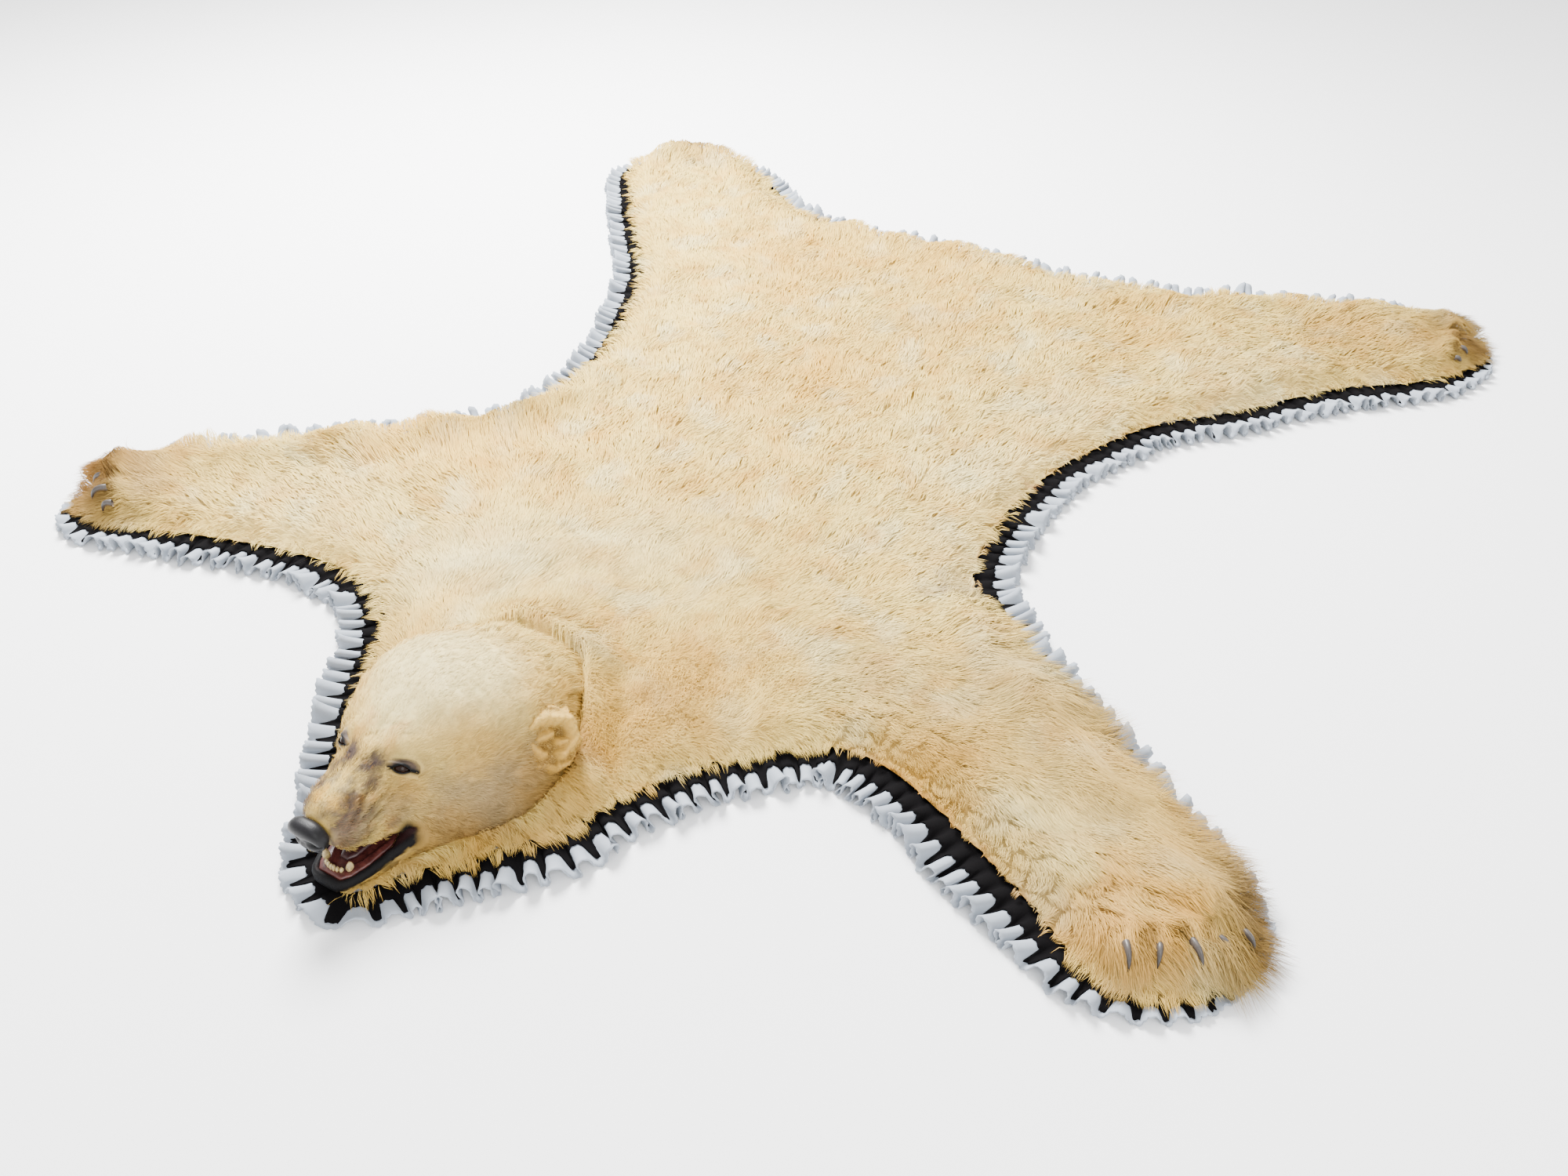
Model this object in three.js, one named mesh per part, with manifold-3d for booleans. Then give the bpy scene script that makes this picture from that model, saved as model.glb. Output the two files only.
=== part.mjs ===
// A white bear's skin made up as a floor rug, in millimetres, +Z up.
// The bear lies on its belly with its legs spread: its head points along -Y, its tail along +Y,
// and its own left side is +X. The source's tables are measured from the middle line of the bear.
import * as THREE from "three";
import { mergeVertices } from "three/addons/utils/BufferGeometryUtils.js";
import Module from "manifold-3d";

const wasm = await Module();
wasm.setup();

// Driving sizes
const GAP = 0.35;               // clearance between neighbouring pieces
const FELT = 2.5;               // thickness of each felt, measured straight up
const PLEAT = 42;               // pitch of the gathers
const PLEAT_RISE = 18;          // height of a gather at the pale felt's rim
const PLEAT_UNEVEN = 0.35;      // how much the gathers differ in place and height
const FELT_WIDE = 80;           // usual width of the pale felt beyond the skin's edge
const FELT_TUCK = 8;            // how far both felts reach in under the skin's edge
const BLACK_SHARE = 0.55;       // the black felt's width beyond the edge, as a share of the pale one's
const RIM_UNDER = 10;           // underside of the skin where it lies over the felts
const RIM_TOP = 27;             // top of the fur at the rim
const PILE = 33;                // top of the fur in the middle of the back
const SHOULDER_INSET = 30;      // how far inside the edge the fur reaches its full height
const LOCK_PITCH = 60;          // distance between locks of fur along the rim
const LOCK_REACH = 34;          // how far a lock reaches past the skin's edge
const LOCK_TIP = 22;            // lowest place of a lock's tip, above the felts
const LOCK_SHIFT = 0.5;         // how far a lock is out of place along the rim, in steps
const LOCK_SHORTEST = 0.65;     // reach of the shortest lock, as a share of LOCK_REACH
const LOCK_SPREAD = 0.6;        // how much further the longest one reaches
const ROOT_REACH = 3;           // how far the fur between two locks reaches past the edge
const RIM_SPREAD = 5;           // how much the rim's places differ in reach and height
const RIM_DROP = 3;             // how far the fur sinks at the rim and at the shoulder
const LIP_INSET = 18;           // where the underside begins to sink from the felts to the floor
const SOLE_INSET = 30;          // where it reaches the floor
const BODY_GRID = 82;           // spacing of the points that carry the lumps
const GRID_MARGIN = 68;         // how far inside the edge those points begin
const THROAT_TOP = 11;          // top of the skin that the head stands on
const HEAD_FOOT = THROAT_TOP + GAP;
const HEAD_MIDDLE = -6;         // the stuffed head lies a little to the bear's right of its jaw

// Colours
const colours = {
  fur: [0xe6d5b0, 0.95],
  nose: [0x141416, 0.45],
  glass: [0x120b07, 0.1],
  gum: [0x8a4a48, 0.4],
  tongue: [0x5c2a2a, 0.45],
  tooth: [0xd9cfae, 0.4],
  claw: [0x4a4440, 0.4],
  paleFelt: [0xd3d9e0, 0.95],
  blackFelt: [0x1b1a1c, 0.95],
};

const table = (columns, rows) =>
  rows.map((row) => Object.fromEntries(columns.map((column, i) => [column, row[i]])));

// The skin's edge on the bear's left, from chin to tail, and how far the pale felt shows past it
const leftEdge = table(["x", "y", "felt"], [
  [30, -1105, 55],
  [85, -1030, 72],
  [150, -954, 78],
  [210, -885, 80],
  [262, -765, 80],
  [330, -655, 80],
  [418, -566, 80],
  [478, -524, 80],
  [535, -514, 80],
  [606, -528, 84],
  [703, -570, 86],
  [796, -616, 86],
  [885, -664, 80],
  [948, -703, 66],
  [1013, -716, 48],
  [1078, -692, 36],
  [1134, -634, 22],
  [1146, -580, 26],
  [1112, -526, 50],
  [1045, -482, 76],
  [926, -404, 80],
  [778, -288, 80],
  [608, -148, 80],
  [512, -30, 82],
  [485, 86, 84],
  [485, 227, 84],
  [517, 395, 80],
  [571, 531, 78],
  [640, 653, 78],
  [742, 760, 78],
  [833, 868, 78],
  [945, 1005, 80],
  [1086, 1118, 76],
  [1172, 1223, 58],
  [1212, 1330, 22],
  [1183, 1400, 20],
  [1114, 1425, 40],
  [1000, 1412, 75],
  [857, 1370, 80],
  [678, 1310, 80],
  [560, 1255, 80],
  [450, 1215, 80],
  [317, 1195, 80],
  [158, 1190, 80],
]);

// The skin's edge on the bear's right, from tail to chin
const rightEdge = table(["x", "y", "felt"], [
  [0, 1200, 80],
  [-170, 1195, 80],
  [-331, 1180, 80],
  [-480, 1195, 80],
  [-617, 1245, 78],
  [-732, 1345, 76],
  [-850, 1440, 60],
  [-950, 1488, 30],
  [-1060, 1485, 20],
  [-1140, 1400, 30],
  [-1170, 1330, 45],
  [-1150, 1250, 62],
  [-1065, 1140, 76],
  [-907, 935, 80],
  [-760, 760, 80],
  [-680, 620, 80],
  [-612, 475, 80],
  [-558, 329, 80],
  [-528, 199, 80],
  [-524, 82, 80],
  [-540, -8, 80],
  [-592, -85, 80],
  [-680, -168, 80],
  [-770, -244, 80],
  [-866, -322, 80],
  [-975, -412, 74],
  [-1085, -492, 50],
  [-1126, -562, 24],
  [-1130, -630, 22],
  [-1100, -690, 40],
  [-1030, -700, 60],
  [-940, -672, 74],
  [-826, -636, 76],
  [-699, -598, 76],
  [-570, -575, 78],
  [-470, -575, 80],
  [-385, -605, 80],
  [-318, -665, 80],
  [-262, -750, 80],
  [-215, -825, 80],
  [-160, -900, 80],
  [-110, -965, 78],
  [-45, -1070, 66],
]);

// Rises and hollows of the fur: place, height above the pile, and half width
const lumps = table(["x", "y", "rise", "reach"], [
  [0, -540, 26, 120],
  [-90, -430, 14, 130],
  [-190, -600, 14, 120],
  [200, -560, 12, 130],
  [760, -420, 20, 150],
  [-700, -380, 12, 170],
  [380, -250, 8, 160],
  [-330, -200, 9, 190],
  [20, 60, 6, 210],
  [260, 420, -6, 180],
  [-300, 480, 7, 200],
  [120, 900, 18, 230],
  [-420, 960, 12, 210],
  [700, 1040, 22, 200],
  [-760, 1120, 14, 190],
  [980, 1300, 26, 110],
  [1070, 1300, 16, 90],
  [-1010, 1370, 24, 110],
  [1010, -590, 26, 100],
  [-1050, -590, 26, 100],
]);

// Paws: middle of the line on which the claws root, which way the line faces (degrees from +X),
// its length and bulge, which way the claws point and how far they fan out, and the claws' size
const paws = table(
  ["name", "x", "y", "facing", "line", "bulge", "pointing", "fan", "length", "radius"],
  [
    ["front_left", 1070, -632, -50, 168, 14, -46, 48, 52, 8],
    ["front_right", -1072, -622, 222, 160, 18, 205, 48, 56, 8],
    ["hind_left", 1150, 1318, 14, 150, 16, 12, 44, 46, 7],
    ["hind_right", -1062, 1424, 112, 158, 16, 112, 44, 46, 7],
  ],
);
const TOES = 5;
const CLAW_SINK = 6;            // how deep the claws' roots lie in the fur
const CLAW_ARCH = 5;            // how far a claw rises before it bends down
const CLAW_DROP = 20;           // how far its point lies below its root
const OUTER_CLAW_LESS = 0.3;    // how much shorter a claw is for each share of the line aside

// The head, from the front of the muzzle to the nape: height of the top, height of the widest place,
// half width there, half width at the foot, and height of the foot
const headRows = table(["y", "top", "wide", "half", "foot", "base"], [
  [-1092, 138, 114, 26, 18, 88],
  [-1078, 149, 114, 38, 30, 80],
  [-1050, 157, 112, 45, 40, 73],
  [-1020, 162, 106, 52, 50, 66],
  [-992, 169, 100, 64, 62, 52],
  [-965, 180, 92, 89, 94, HEAD_FOOT],
  [-930, 196, 90, 113, 124, HEAD_FOOT],
  [-880, 213, 90, 136, 154, HEAD_FOOT],
  [-830, 217, 88, 149, 172, HEAD_FOOT],
  [-780, 205, 84, 153, 174, HEAD_FOOT],
  [-730, 181, 74, 142, 158, HEAD_FOOT],
  [-680, 149, 62, 116, 128, HEAD_FOOT],
  [-635, 111, 50, 88, 98, HEAD_FOOT],
  [-596, 72, 38, 58, 70, HEAD_FOOT],
]);

// The lower jaw, from the chin back into the cheeks
const jawRows = table(["y", "top", "wide", "half", "foot", "base"], [
  [-1112, 30, 24, 20, 14, 16],
  [-1103, 38, 26, 34, 28, HEAD_FOOT],
  [-1080, 40, 26, 44, 40, HEAD_FOOT],
  [-1040, 43, 28, 54, 52, HEAD_FOOT],
  [-1000, 50, 30, 68, 68, HEAD_FOOT],
  [-955, 70, 34, 88, 96, HEAD_FOOT],
]);

// The inside of the mouth, from the front of the lower jaw to the throat
const mouthRows = table(["y", "top", "wide", "half", "foot", "base"], [
  [-1102, 60, 44, 24, 18, 25],
  [-1090, 64, 46, 33, 28, 23],
  [-1060, 66, 48, 41, 36, 22],
  [-1020, 60, 46, 46, 38, 24],
  [-990, 52, 42, 36, 28, 28],
  [-974, 46, 40, 20, 16, 32],
]);
const GUM_TOP = 36;             // rim of the gum on which the lower teeth stand

// The hollow in the gum that holds the tongue
const hollowRows = table(["y", "top", "wide", "half", "foot", "base"], [
  [-1085, 90, 36, 12, 8, 29],
  [-1062, 90, 36, 24, 18, 28],
  [-1020, 90, 36, 31, 24, 29],
  [-985, 90, 38, 26, 18, 33],
  [-960, 90, 40, 26, 18, 36],
]);

// Lower teeth: how far each lies from the middle line, how far forward, its width, depth and height
const teeth = table(["name", "x", "y", "wide", "deep", "high"], [
  ["incisor_1", -13.6, -1091, 5.4, 6, 7.5],
  ["incisor_2", -8.2, -1093, 4.9, 6, 7],
  ["incisor_3", -2.8, -1094, 4.7, 6, 6.5],
  ["incisor_4", 2.6, -1094, 4.7, 6, 6.5],
  ["incisor_5", 8.0, -1093, 4.9, 6, 7],
  ["incisor_6", 13.4, -1091, 5.4, 6, 7.5],
  ["canine_right", -21.5, -1083, 8, 10, 15],
  ["canine_left", 21.5, -1083, 8, 10, 15],
]);

const group = new THREE.Group();
const add = (name, colour, geometry) => {
  const [color, roughness] = colours[colour];
  const material = new THREE.MeshStandardMaterial({ color, roughness, metalness: 0 });
  const mesh = new THREE.Mesh(geometry, material);
  mesh.name = name;
  group.add(mesh);
};

// A number between 0 and 1 that looks random but is always the same for one step and one kind
const chance = (step, kind) => {
  const wave = Math.sin(step * 12.9898 + kind * 78.233) * 43758.5453;
  return wave - Math.floor(wave);
};

const smooth = (from, to, value) => {
  const t = Math.min(1, Math.max(0, (value - from) / (to - from)));
  return t * t * (3 - 2 * t);
};

// Six times the volume inside triangles: below nought where they face inward
const volumeOf = (points, triangles) =>
  triangles.reduce((sum, corners) => {
    const [a, b, c] = corners.map((i) => new THREE.Vector3(...points[i]));
    return sum + a.dot(b.cross(c));
  }, 0);

// Geometry from points [x, y, z] and triangles of point numbers
const meshOf = (points, triangles) => {
  const geometry = new THREE.BufferGeometry();
  geometry.setAttribute("position", new THREE.Float32BufferAttribute(points.flat(), 3));
  geometry.setIndex(triangles.flat());
  return geometry;
};

const solidOf = (geometry) => {
  const bare = geometry.clone();
  bare.deleteAttribute("normal");
  bare.deleteAttribute("uv");
  const merged = mergeVertices(bare, 1e-4);
  const vertProperties = new Float32Array(merged.attributes.position.array);
  const triVerts = new Uint32Array(merged.index.array);
  return new wasm.Manifold(new wasm.Mesh({ numProp: 3, vertProperties, triVerts }));
};

const geometryOf = (solid) => {
  const { vertProperties, triVerts, numProp } = solid.getMesh();
  const points = [];
  for (let i = 0; i < vertProperties.length; i += numProp) {
    points.push([vertProperties[i], vertProperties[i + 1], vertProperties[i + 2]]);
  }
  return meshOf(points, [Array.from(triVerts)]);
};

// Closed skin over rings of equal length, each ring listed the same way round. Each four-sided
// face is two triangles, and "turned" says where they are split along the other diagonal.
const skinOver = (rings, turned = () => false) => {
  const count = rings[0].length;
  const points = rings.flat();
  const triangles = [];
  for (let r = 0; r + 1 < rings.length; r += 1) {
    for (let i = 0; i < count; i += 1) {
      const next = (i + 1) % count;
      const [a, b] = [r * count + i, r * count + next];
      if (turned(r, i)) {
        triangles.push([a, a + count, b + count], [a, b + count, b]);
      } else {
        triangles.push([a, a + count, b], [b, a + count, b + count]);
      }
    }
  }
  const last = (rings.length - 1) * count;
  for (let i = 1; i + 1 < count; i += 1) {
    triangles.push([0, i, i + 1], [last, last + i + 1, last + i]);
  }
  const facesIn = volumeOf(points, triangles) < 0;
  return meshOf(points, facesIn ? triangles.map(([a, b, c]) => [a, c, b]) : triangles);
};

// One ring of the head, jaw or mouth: an arch over the widest place, tapering to a flat foot
const ARCH_STEPS = 10;
const ARCH_FULLNESS = 0.92;     // below 1 the arch is fuller than a half ellipse
const WAIST_BULGE = 0.3;        // how far the side stands out below the widest place
const ringOf = (row, middle = 0) => {
  const arch = [];
  for (let i = 0; i <= ARCH_STEPS; i += 1) {
    const turn = (Math.PI * i) / ARCH_STEPS;
    const rise = Math.sin(turn) ** ARCH_FULLNESS;
    const across = middle + row.half * Math.cos(turn);
    arch.push([across, row.y, row.wide + (row.top - row.wide) * rise]);
  }
  const waist = (row.wide + row.base) / 2;
  const bulge = (row.half + row.foot) / 2 + (row.half - Math.min(row.half, row.foot)) * WAIST_BULGE;
  return [
    ...arch,
    [middle - bulge, row.y, waist],
    [middle - row.foot, row.y, row.base],
    [middle + row.foot, row.y, row.base],
    [middle + bulge, row.y, waist],
  ];
};

const loftOf = (rows, middle = 0) => solidOf(skinOver(rows.map((row) => ringOf(row, middle))));

// The rug's edge as one smooth closed curve, counter-clockwise from the chin
const edgeRows = [...leftEdge, ...rightEdge];
const edgeCurve = new THREE.CatmullRomCurve3(
  edgeRows.map((row) => new THREE.Vector3(row.x, row.y, row.felt)),
  true,
  "centripetal",
);
edgeCurve.arcLengthDivisions = 2000;
const EDGE_LENGTH = edgeCurve.getLength();

// Place along the edge, outward direction and felt width, from a share of the way round
const edgeAt = (share) => {
  const part = ((share % 1) + 1) % 1;
  const place = edgeCurve.getPointAt(part);
  const along = edgeCurve.getTangentAt(part);
  const length = Math.hypot(along.x, along.y);
  return {
    x: place.x,
    y: place.y,
    outX: along.y / length,
    outY: -along.x / length,
    felt: place.z,
  };
};

// Fur

// Low waves all over the back: their rise, and their lengths across, along and on the slant
const WAVES = { rise: 3.5, across: 61, along: 73, slant: 190, bend: 1.3, bendLength: 97 };

const furTop = (x, y) => {
  let height = PILE;
  for (const lump of lumps) {
    const far = ((x - lump.x) ** 2 + (y - lump.y) ** 2) / lump.reach ** 2;
    height += lump.rise * Math.exp(-far);
  }
  const bend = WAVES.bend * Math.sin(y / WAVES.bendLength);
  const across = Math.sin(x / WAVES.across + bend);
  height += WAVES.rise * across * Math.cos(y / WAVES.along + x / WAVES.slant);
  return height;
};

// Triangles of a flat set of points, by adding them one at a time to a large first triangle
const triangulate = (flat) => {
  const FAR = 1e5;
  const points = [...flat, [-FAR, -FAR], [FAR, -FAR], [0, FAR]];
  const count = flat.length;
  const circleOf = (corners) => {
    const [a, b, c] = corners.map((i) => points[i]);
    const [bx, by, cx, cy] = [b[0] - a[0], b[1] - a[1], c[0] - a[0], c[1] - a[1]];
    const twice = 2 * (bx * cy - by * cx);
    const x = (cy * (bx * bx + by * by) - by * (cx * cx + cy * cy)) / twice;
    const y = (bx * (cx * cx + cy * cy) - cx * (bx * bx + by * by)) / twice;
    return { corners, x: a[0] + x, y: a[1] + y, reach: x * x + y * y };
  };
  let circles = [circleOf([count, count + 1, count + 2])];
  for (let i = 0; i < count; i += 1) {
    const [x, y] = points[i];
    const rim = new Map();
    const kept = [];
    for (const circle of circles) {
      if ((x - circle.x) ** 2 + (y - circle.y) ** 2 >= circle.reach) {
        kept.push(circle);
        continue;
      }
      const [a, b, c] = circle.corners;
      for (const [from, to] of [[a, b], [b, c], [c, a]]) {
        if (!rim.delete(`${to},${from}`)) {
          rim.set(`${from},${to}`, [from, to]);
        }
      }
    }
    for (const [from, to] of rim.values()) {
      kept.push(circleOf([from, to, i]));
    }
    circles = kept;
  }
  return circles.map((circle) => circle.corners).filter((corners) => Math.max(...corners) < count);
};

const inside = (outline, x, y) => {
  let odd = false;
  for (let i = 0, j = outline.length - 1; i < outline.length; j = i, i += 1) {
    const [xi, yi] = outline[i];
    const [xj, yj] = outline[j];
    if (yi > y !== yj > y && x < ((xj - xi) * (y - yi)) / (yj - yi) + xi) {
      odd = !odd;
    }
  }
  return odd;
};

const distanceToEdge = (outline, x, y) => {
  let best = Infinity;
  for (const [px, py] of outline) {
    best = Math.min(best, Math.hypot(px - x, py - y));
  }
  return best;
};

// Ring of points at a distance inside the edge, one for each step of the rim
const ringInside = (steps, inset, height) => {
  const ring = [];
  for (let i = 0; i < steps; i += 1) {
    const at = edgeAt(i / steps);
    const x = at.x - at.outX * inset;
    const y = at.y - at.outY * inset;
    ring.push([x, y, height(x, y)]);
  }
  return ring;
};

const makeHide = () => {
  const locks = Math.round(EDGE_LENGTH / LOCK_PITCH);
  const steps = locks * 2;
  const rimTop = [];
  const rimUnder = [];
  const outline = [];
  for (let i = 0; i < steps; i += 1) {
    const isTip = i % 2 === 1;
    const at = edgeAt((i + LOCK_SHIFT * (chance(i, 1) - 0.5)) / steps);
    const uneven = LOCK_SHORTEST + LOCK_SPREAD * chance(i, 2);
    const reach = isTip ? LOCK_REACH * uneven : ROOT_REACH + RIM_SPREAD * chance(i, 3);
    const x = at.x + at.outX * reach;
    const y = at.y + at.outY * reach;
    outline.push([x, y]);
    const tipHeight = LOCK_TIP + RIM_SPREAD * chance(i, 4);
    const rootHeight = RIM_TOP - RIM_DROP + RIM_SPREAD * chance(i, 5);
    rimTop.push([x, y, isTip ? tipHeight : rootHeight]);
    rimUnder.push([x, y, isTip ? tipHeight : RIM_UNDER]);
  }

  // Upper face: rim, a shoulder ring, and a staggered grid that carries the lumps
  const shoulderTop = (x, y) => Math.max(RIM_TOP, furTop(x, y) - RIM_DROP);
  const shoulder = ringInside(steps / 2, SHOULDER_INSET, shoulderTop);
  const upper = [...rimTop, ...shoulder];
  const rise = BODY_GRID * Math.sqrt(0.75);
  const edgeLine = ringInside(steps, 0, () => 0);
  const reachOf = (points, axis) => points.map((point) => point[axis]);
  const [west, east] = [Math.min(...reachOf(outline, 0)), Math.max(...reachOf(outline, 0))];
  const [south, north] = [Math.min(...reachOf(outline, 1)), Math.max(...reachOf(outline, 1))];
  for (let row = 0; south + row * rise < north; row += 1) {
    for (let x = west + ((row % 2) * BODY_GRID) / 2; x < east; x += BODY_GRID) {
      const y = south + row * rise;
      if (inside(outline, x, y) && distanceToEdge(edgeLine, x, y) > GRID_MARGIN) {
        upper.push([x, y, furTop(x, y)]);
      }
    }
  }
  // Underside: raised over the felts at the rim, flat on the floor further in
  const lip = ringInside(steps / 2, LIP_INSET, () => RIM_UNDER);
  const sole = ringInside(steps / 2, SOLE_INSET, () => 0);
  const lower = [...rimUnder, ...lip, ...sole];

  const facesIn = (points) =>
    triangulate(points).filter((corners) => {
      const [x, y] = [0, 1].map((k) => corners.reduce((sum, i) => sum + points[i][k], 0) / 3);
      return inside(outline, x, y);
    });
  const points = [...upper];
  const triangles = facesIn(upper);
  const lowerNumber = lower.map((point, i) => {
    if (i < steps && i % 2 === 1) {
      return i;
    }
    points.push(point);
    return points.length - 1;
  });
  for (const [a, b, c] of facesIn(lower)) {
    triangles.push([lowerNumber[a], lowerNumber[c], lowerNumber[b]]);
  }
  for (let i = 0; i < steps; i += 2) {
    const before = (i + steps - 1) % steps;
    triangles.push([i, before, lowerNumber[i]], [lowerNumber[i], i + 1, i]);
  }
  return meshOf(points, triangles);
};

// Head

// Block that clears the skin from the head's place, a little wider than the head's foot
const headRoom = () => {
  // The last row of the jaw lies inside the head
  const rows = [...jawRows.slice(0, -1), ...headRows.filter((row) => row.base === HEAD_FOOT)];
  const ahead = 25;
  const aside = 3;
  const above = 400;
  const rings = rows.map((row, i) => {
    const half = Math.max(row.half, row.foot) + aside - HEAD_MIDDLE;
    const ends = { 0: -ahead, [rows.length - 1]: aside };
    const y = row.y + (ends[i] ?? 0);
    return [[half, y, above], [-half, y, above], [-half, y, THROAT_TOP], [half, y, THROAT_TOP]];
  });
  return solidOf(skinOver(rings));
};

// Ears: side of the head, middle of the ear, and how far it leans out
const ears = table(["side", "x", "y", "z", "lean"], [
  [1, 156, -786, 128, 0.75],
  [-1, -160, -798, 108, 1.0],
]);
const EAR = { wide: 40, thick: 15, high: 40, turn: 0.5 };
// Its hollow: size as a share of the ear, and how far its middle lies outward and up
const EAR_HOLLOW = { share: 0.62, out: 12, up: 4 };
const EYE = { x: 51, y: -973, z: 151, radius: 11 };

const placeEar = (shape, ear) => {
  shape.rotateY(ear.side * ear.lean);
  shape.rotateZ(-ear.side * EAR.turn);
  shape.translate(ear.x, ear.y, ear.z);
  return solidOf(shape);
};

const earShell = (ear) => {
  const shell = new THREE.SphereGeometry(1, 12, 8);
  shell.scale(EAR.wide, EAR.thick, EAR.high);
  return placeEar(shell, ear);
};

const earHollow = (ear) => {
  const hollow = new THREE.SphereGeometry(1, 8, 6);
  hollow.scale(EAR.wide * EAR_HOLLOW.share, EAR.thick, EAR.high * EAR_HOLLOW.share);
  hollow.translate(0, -EAR_HOLLOW.out, EAR_HOLLOW.up);
  return placeEar(hollow, ear);
};

const eyeBall = (side, radius) => {
  const ball = new THREE.SphereGeometry(radius, 12, 8);
  ball.translate(HEAD_MIDDLE + side * EYE.x, EYE.y, EYE.z);
  return ball;
};

const makeHead = () => {
  let head = loftOf(headRows, HEAD_MIDDLE).add(loftOf(jawRows));
  for (const ear of ears) {
    head = head.add(earShell(ear)).subtract(earHollow(ear));
  }
  // The sockets are open to the front, so that the eyes show
  for (const side of [-1, 1]) {
    head = head.subtract(solidOf(eyeBall(side, EYE.radius + GAP)));
  }
  return head.subtract(loftOf(mouthRows));
};

const GUM_ROUND = 2;            // how far the gum's rim and foot are rounded off
const GUM_SIDE = 0.35;          // its half width, as a share of the way from the foot to the widest place

// Gum and floor of the mouth: fills the mouth up to the gum's rim, clear of the skin round it
const makeMouthLining = () => {
  const rows = mouthRows.map((row, i) => ({
    ...row,
    y: row.y + (i === 0 ? GAP : 0) - (i === mouthRows.length - 1 ? GAP : 0),
    top: GUM_TOP,
    wide: GUM_TOP - GUM_ROUND,
    half: row.foot + (row.half - row.foot) * GUM_SIDE,
    foot: row.foot - GUM_ROUND,
    base: row.base + 2 * GAP,
  }));
  return loftOf(rows).subtract(loftOf(hollowRows));
};

// A rounded block: squashed sphere whose corners are filled out
const roundBlock = (wide, deep, high, rounding, across, along) => {
  const block = new THREE.SphereGeometry(1, across, along);
  block.rotateX(Math.PI / 2);
  const place = block.attributes.position;
  const fill = (value) => Math.sign(value) * Math.abs(value) ** rounding;
  for (let i = 0; i < place.count; i += 1) {
    place.setXYZ(
      i,
      (fill(place.getX(i)) * wide) / 2,
      (fill(place.getY(i)) * deep) / 2,
      (fill(place.getZ(i)) * high) / 2,
    );
  }
  return block;
};

// Claw: a bent horn that tapers from its root along a heading, arching up and then down
const CLAW_STEPS = 4;
const CLAW_SIDES = 5;
const CLAW_BEND = 1.3;          // how far it turns from root to tip, in radians
const CLAW_TIP = 0.9;           // radius at the tip
const CLAW_TAPER = 0.7;         // below 1 it stays thick for longer
const CLAW_FLAT = 0.8;          // width as a share of its height
const spike = ({ x, y, z, heading, length, radius, grow }) => {
  const rings = [];
  for (let i = 0; i <= CLAW_STEPS; i += 1) {
    const t = i / CLAW_STEPS;
    const forward = (length * Math.sin(t * CLAW_BEND)) / Math.sin(CLAW_BEND);
    const height = z + CLAW_ARCH * Math.sin(t * Math.PI) - CLAW_DROP * t * t;
    const wide = Math.max(CLAW_TIP, radius * (1 - t) ** CLAW_TAPER) + grow;
    const lean = -t;
    const ring = [];
    for (let k = 0; k < CLAW_SIDES; k += 1) {
      const turn = (2 * Math.PI * k) / CLAW_SIDES;
      const across = wide * CLAW_FLAT * Math.cos(turn);
      const up = wide * Math.sin(turn);
      const ahead = forward - up * Math.sin(lean);
      ring.push([
        x + ahead * Math.cos(heading) - across * Math.sin(heading),
        y + ahead * Math.sin(heading) + across * Math.cos(heading),
        height + up * Math.cos(lean),
      ]);
    }
    rings.push(ring);
  }
  return skinOver(rings);
};

const clawsOf = (grow) => {
  const claws = [];
  for (const paw of paws) {
    const facing = THREE.MathUtils.degToRad(paw.facing);
    for (let toe = 0; toe < TOES; toe += 1) {
      const share = toe / (TOES - 1) - 0.5;
      const across = share * paw.line;
      const back = paw.bulge * (2 * share) ** 2;
      const x = paw.x - across * Math.sin(facing) - back * Math.cos(facing);
      const y = paw.y + across * Math.cos(facing) - back * Math.sin(facing);
      const geometry = spike({
        x,
        y,
        z: furTop(x, y) - CLAW_SINK,
        heading: THREE.MathUtils.degToRad(paw.pointing + share * paw.fan),
        length: paw.length * (1 - OUTER_CLAW_LESS * Math.abs(share)),
        radius: paw.radius,
        grow,
      });
      claws.push({ name: `claw_${paw.name}_${toe + 1}`, geometry });
    }
  }
  return claws;
};

// Felts

// Gathered strip between two shares of the way round, from under the skin's edge out to its rim
const PLEATS = Math.round(EDGE_LENGTH / PLEAT);
const STEPS = PLEATS * 2;

const LEAST_GATHER = 0.8;       // height of the lowest gather, as a share of PLEAT_RISE
const NARROWEST = 0.95;         // the felt's width where it is narrowest, as a share of the table's
const WIDTH_SPREAD = 0.1;       // how much wider it is elsewhere
const LENGTH_GAP = 0.02;        // gap at each end of a length of felt, in steps

const gather = (step) => (step % 2 === 0 ? 0 : LEAST_GATHER + PLEAT_UNEVEN * chance(step, 6));

const feltStation = (count, shift, share, lift) => {
  const step = count % STEPS;
  const at = edgeAt((step + PLEAT_UNEVEN * (chance(step, 7) - 0.5) + shift) / STEPS);
  const rim = at.felt * (NARROWEST + WIDTH_SPREAD * chance(step, 8));
  const out = rim * share;
  const rise = PLEAT_RISE * gather(step) * Math.min(1, rim / FELT_WIDE);
  const height = (rise * (out + FELT_TUCK)) / (rim + FELT_TUCK);
  const inner = [at.x - at.outX * FELT_TUCK, at.y - at.outY * FELT_TUCK];
  const outer = [at.x + at.outX * out, at.y + at.outY * out];
  return [
    [...inner, lift],
    [...outer, lift + height],
    [...outer, lift + height + FELT],
    [...inner, lift + FELT],
  ];
};

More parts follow.
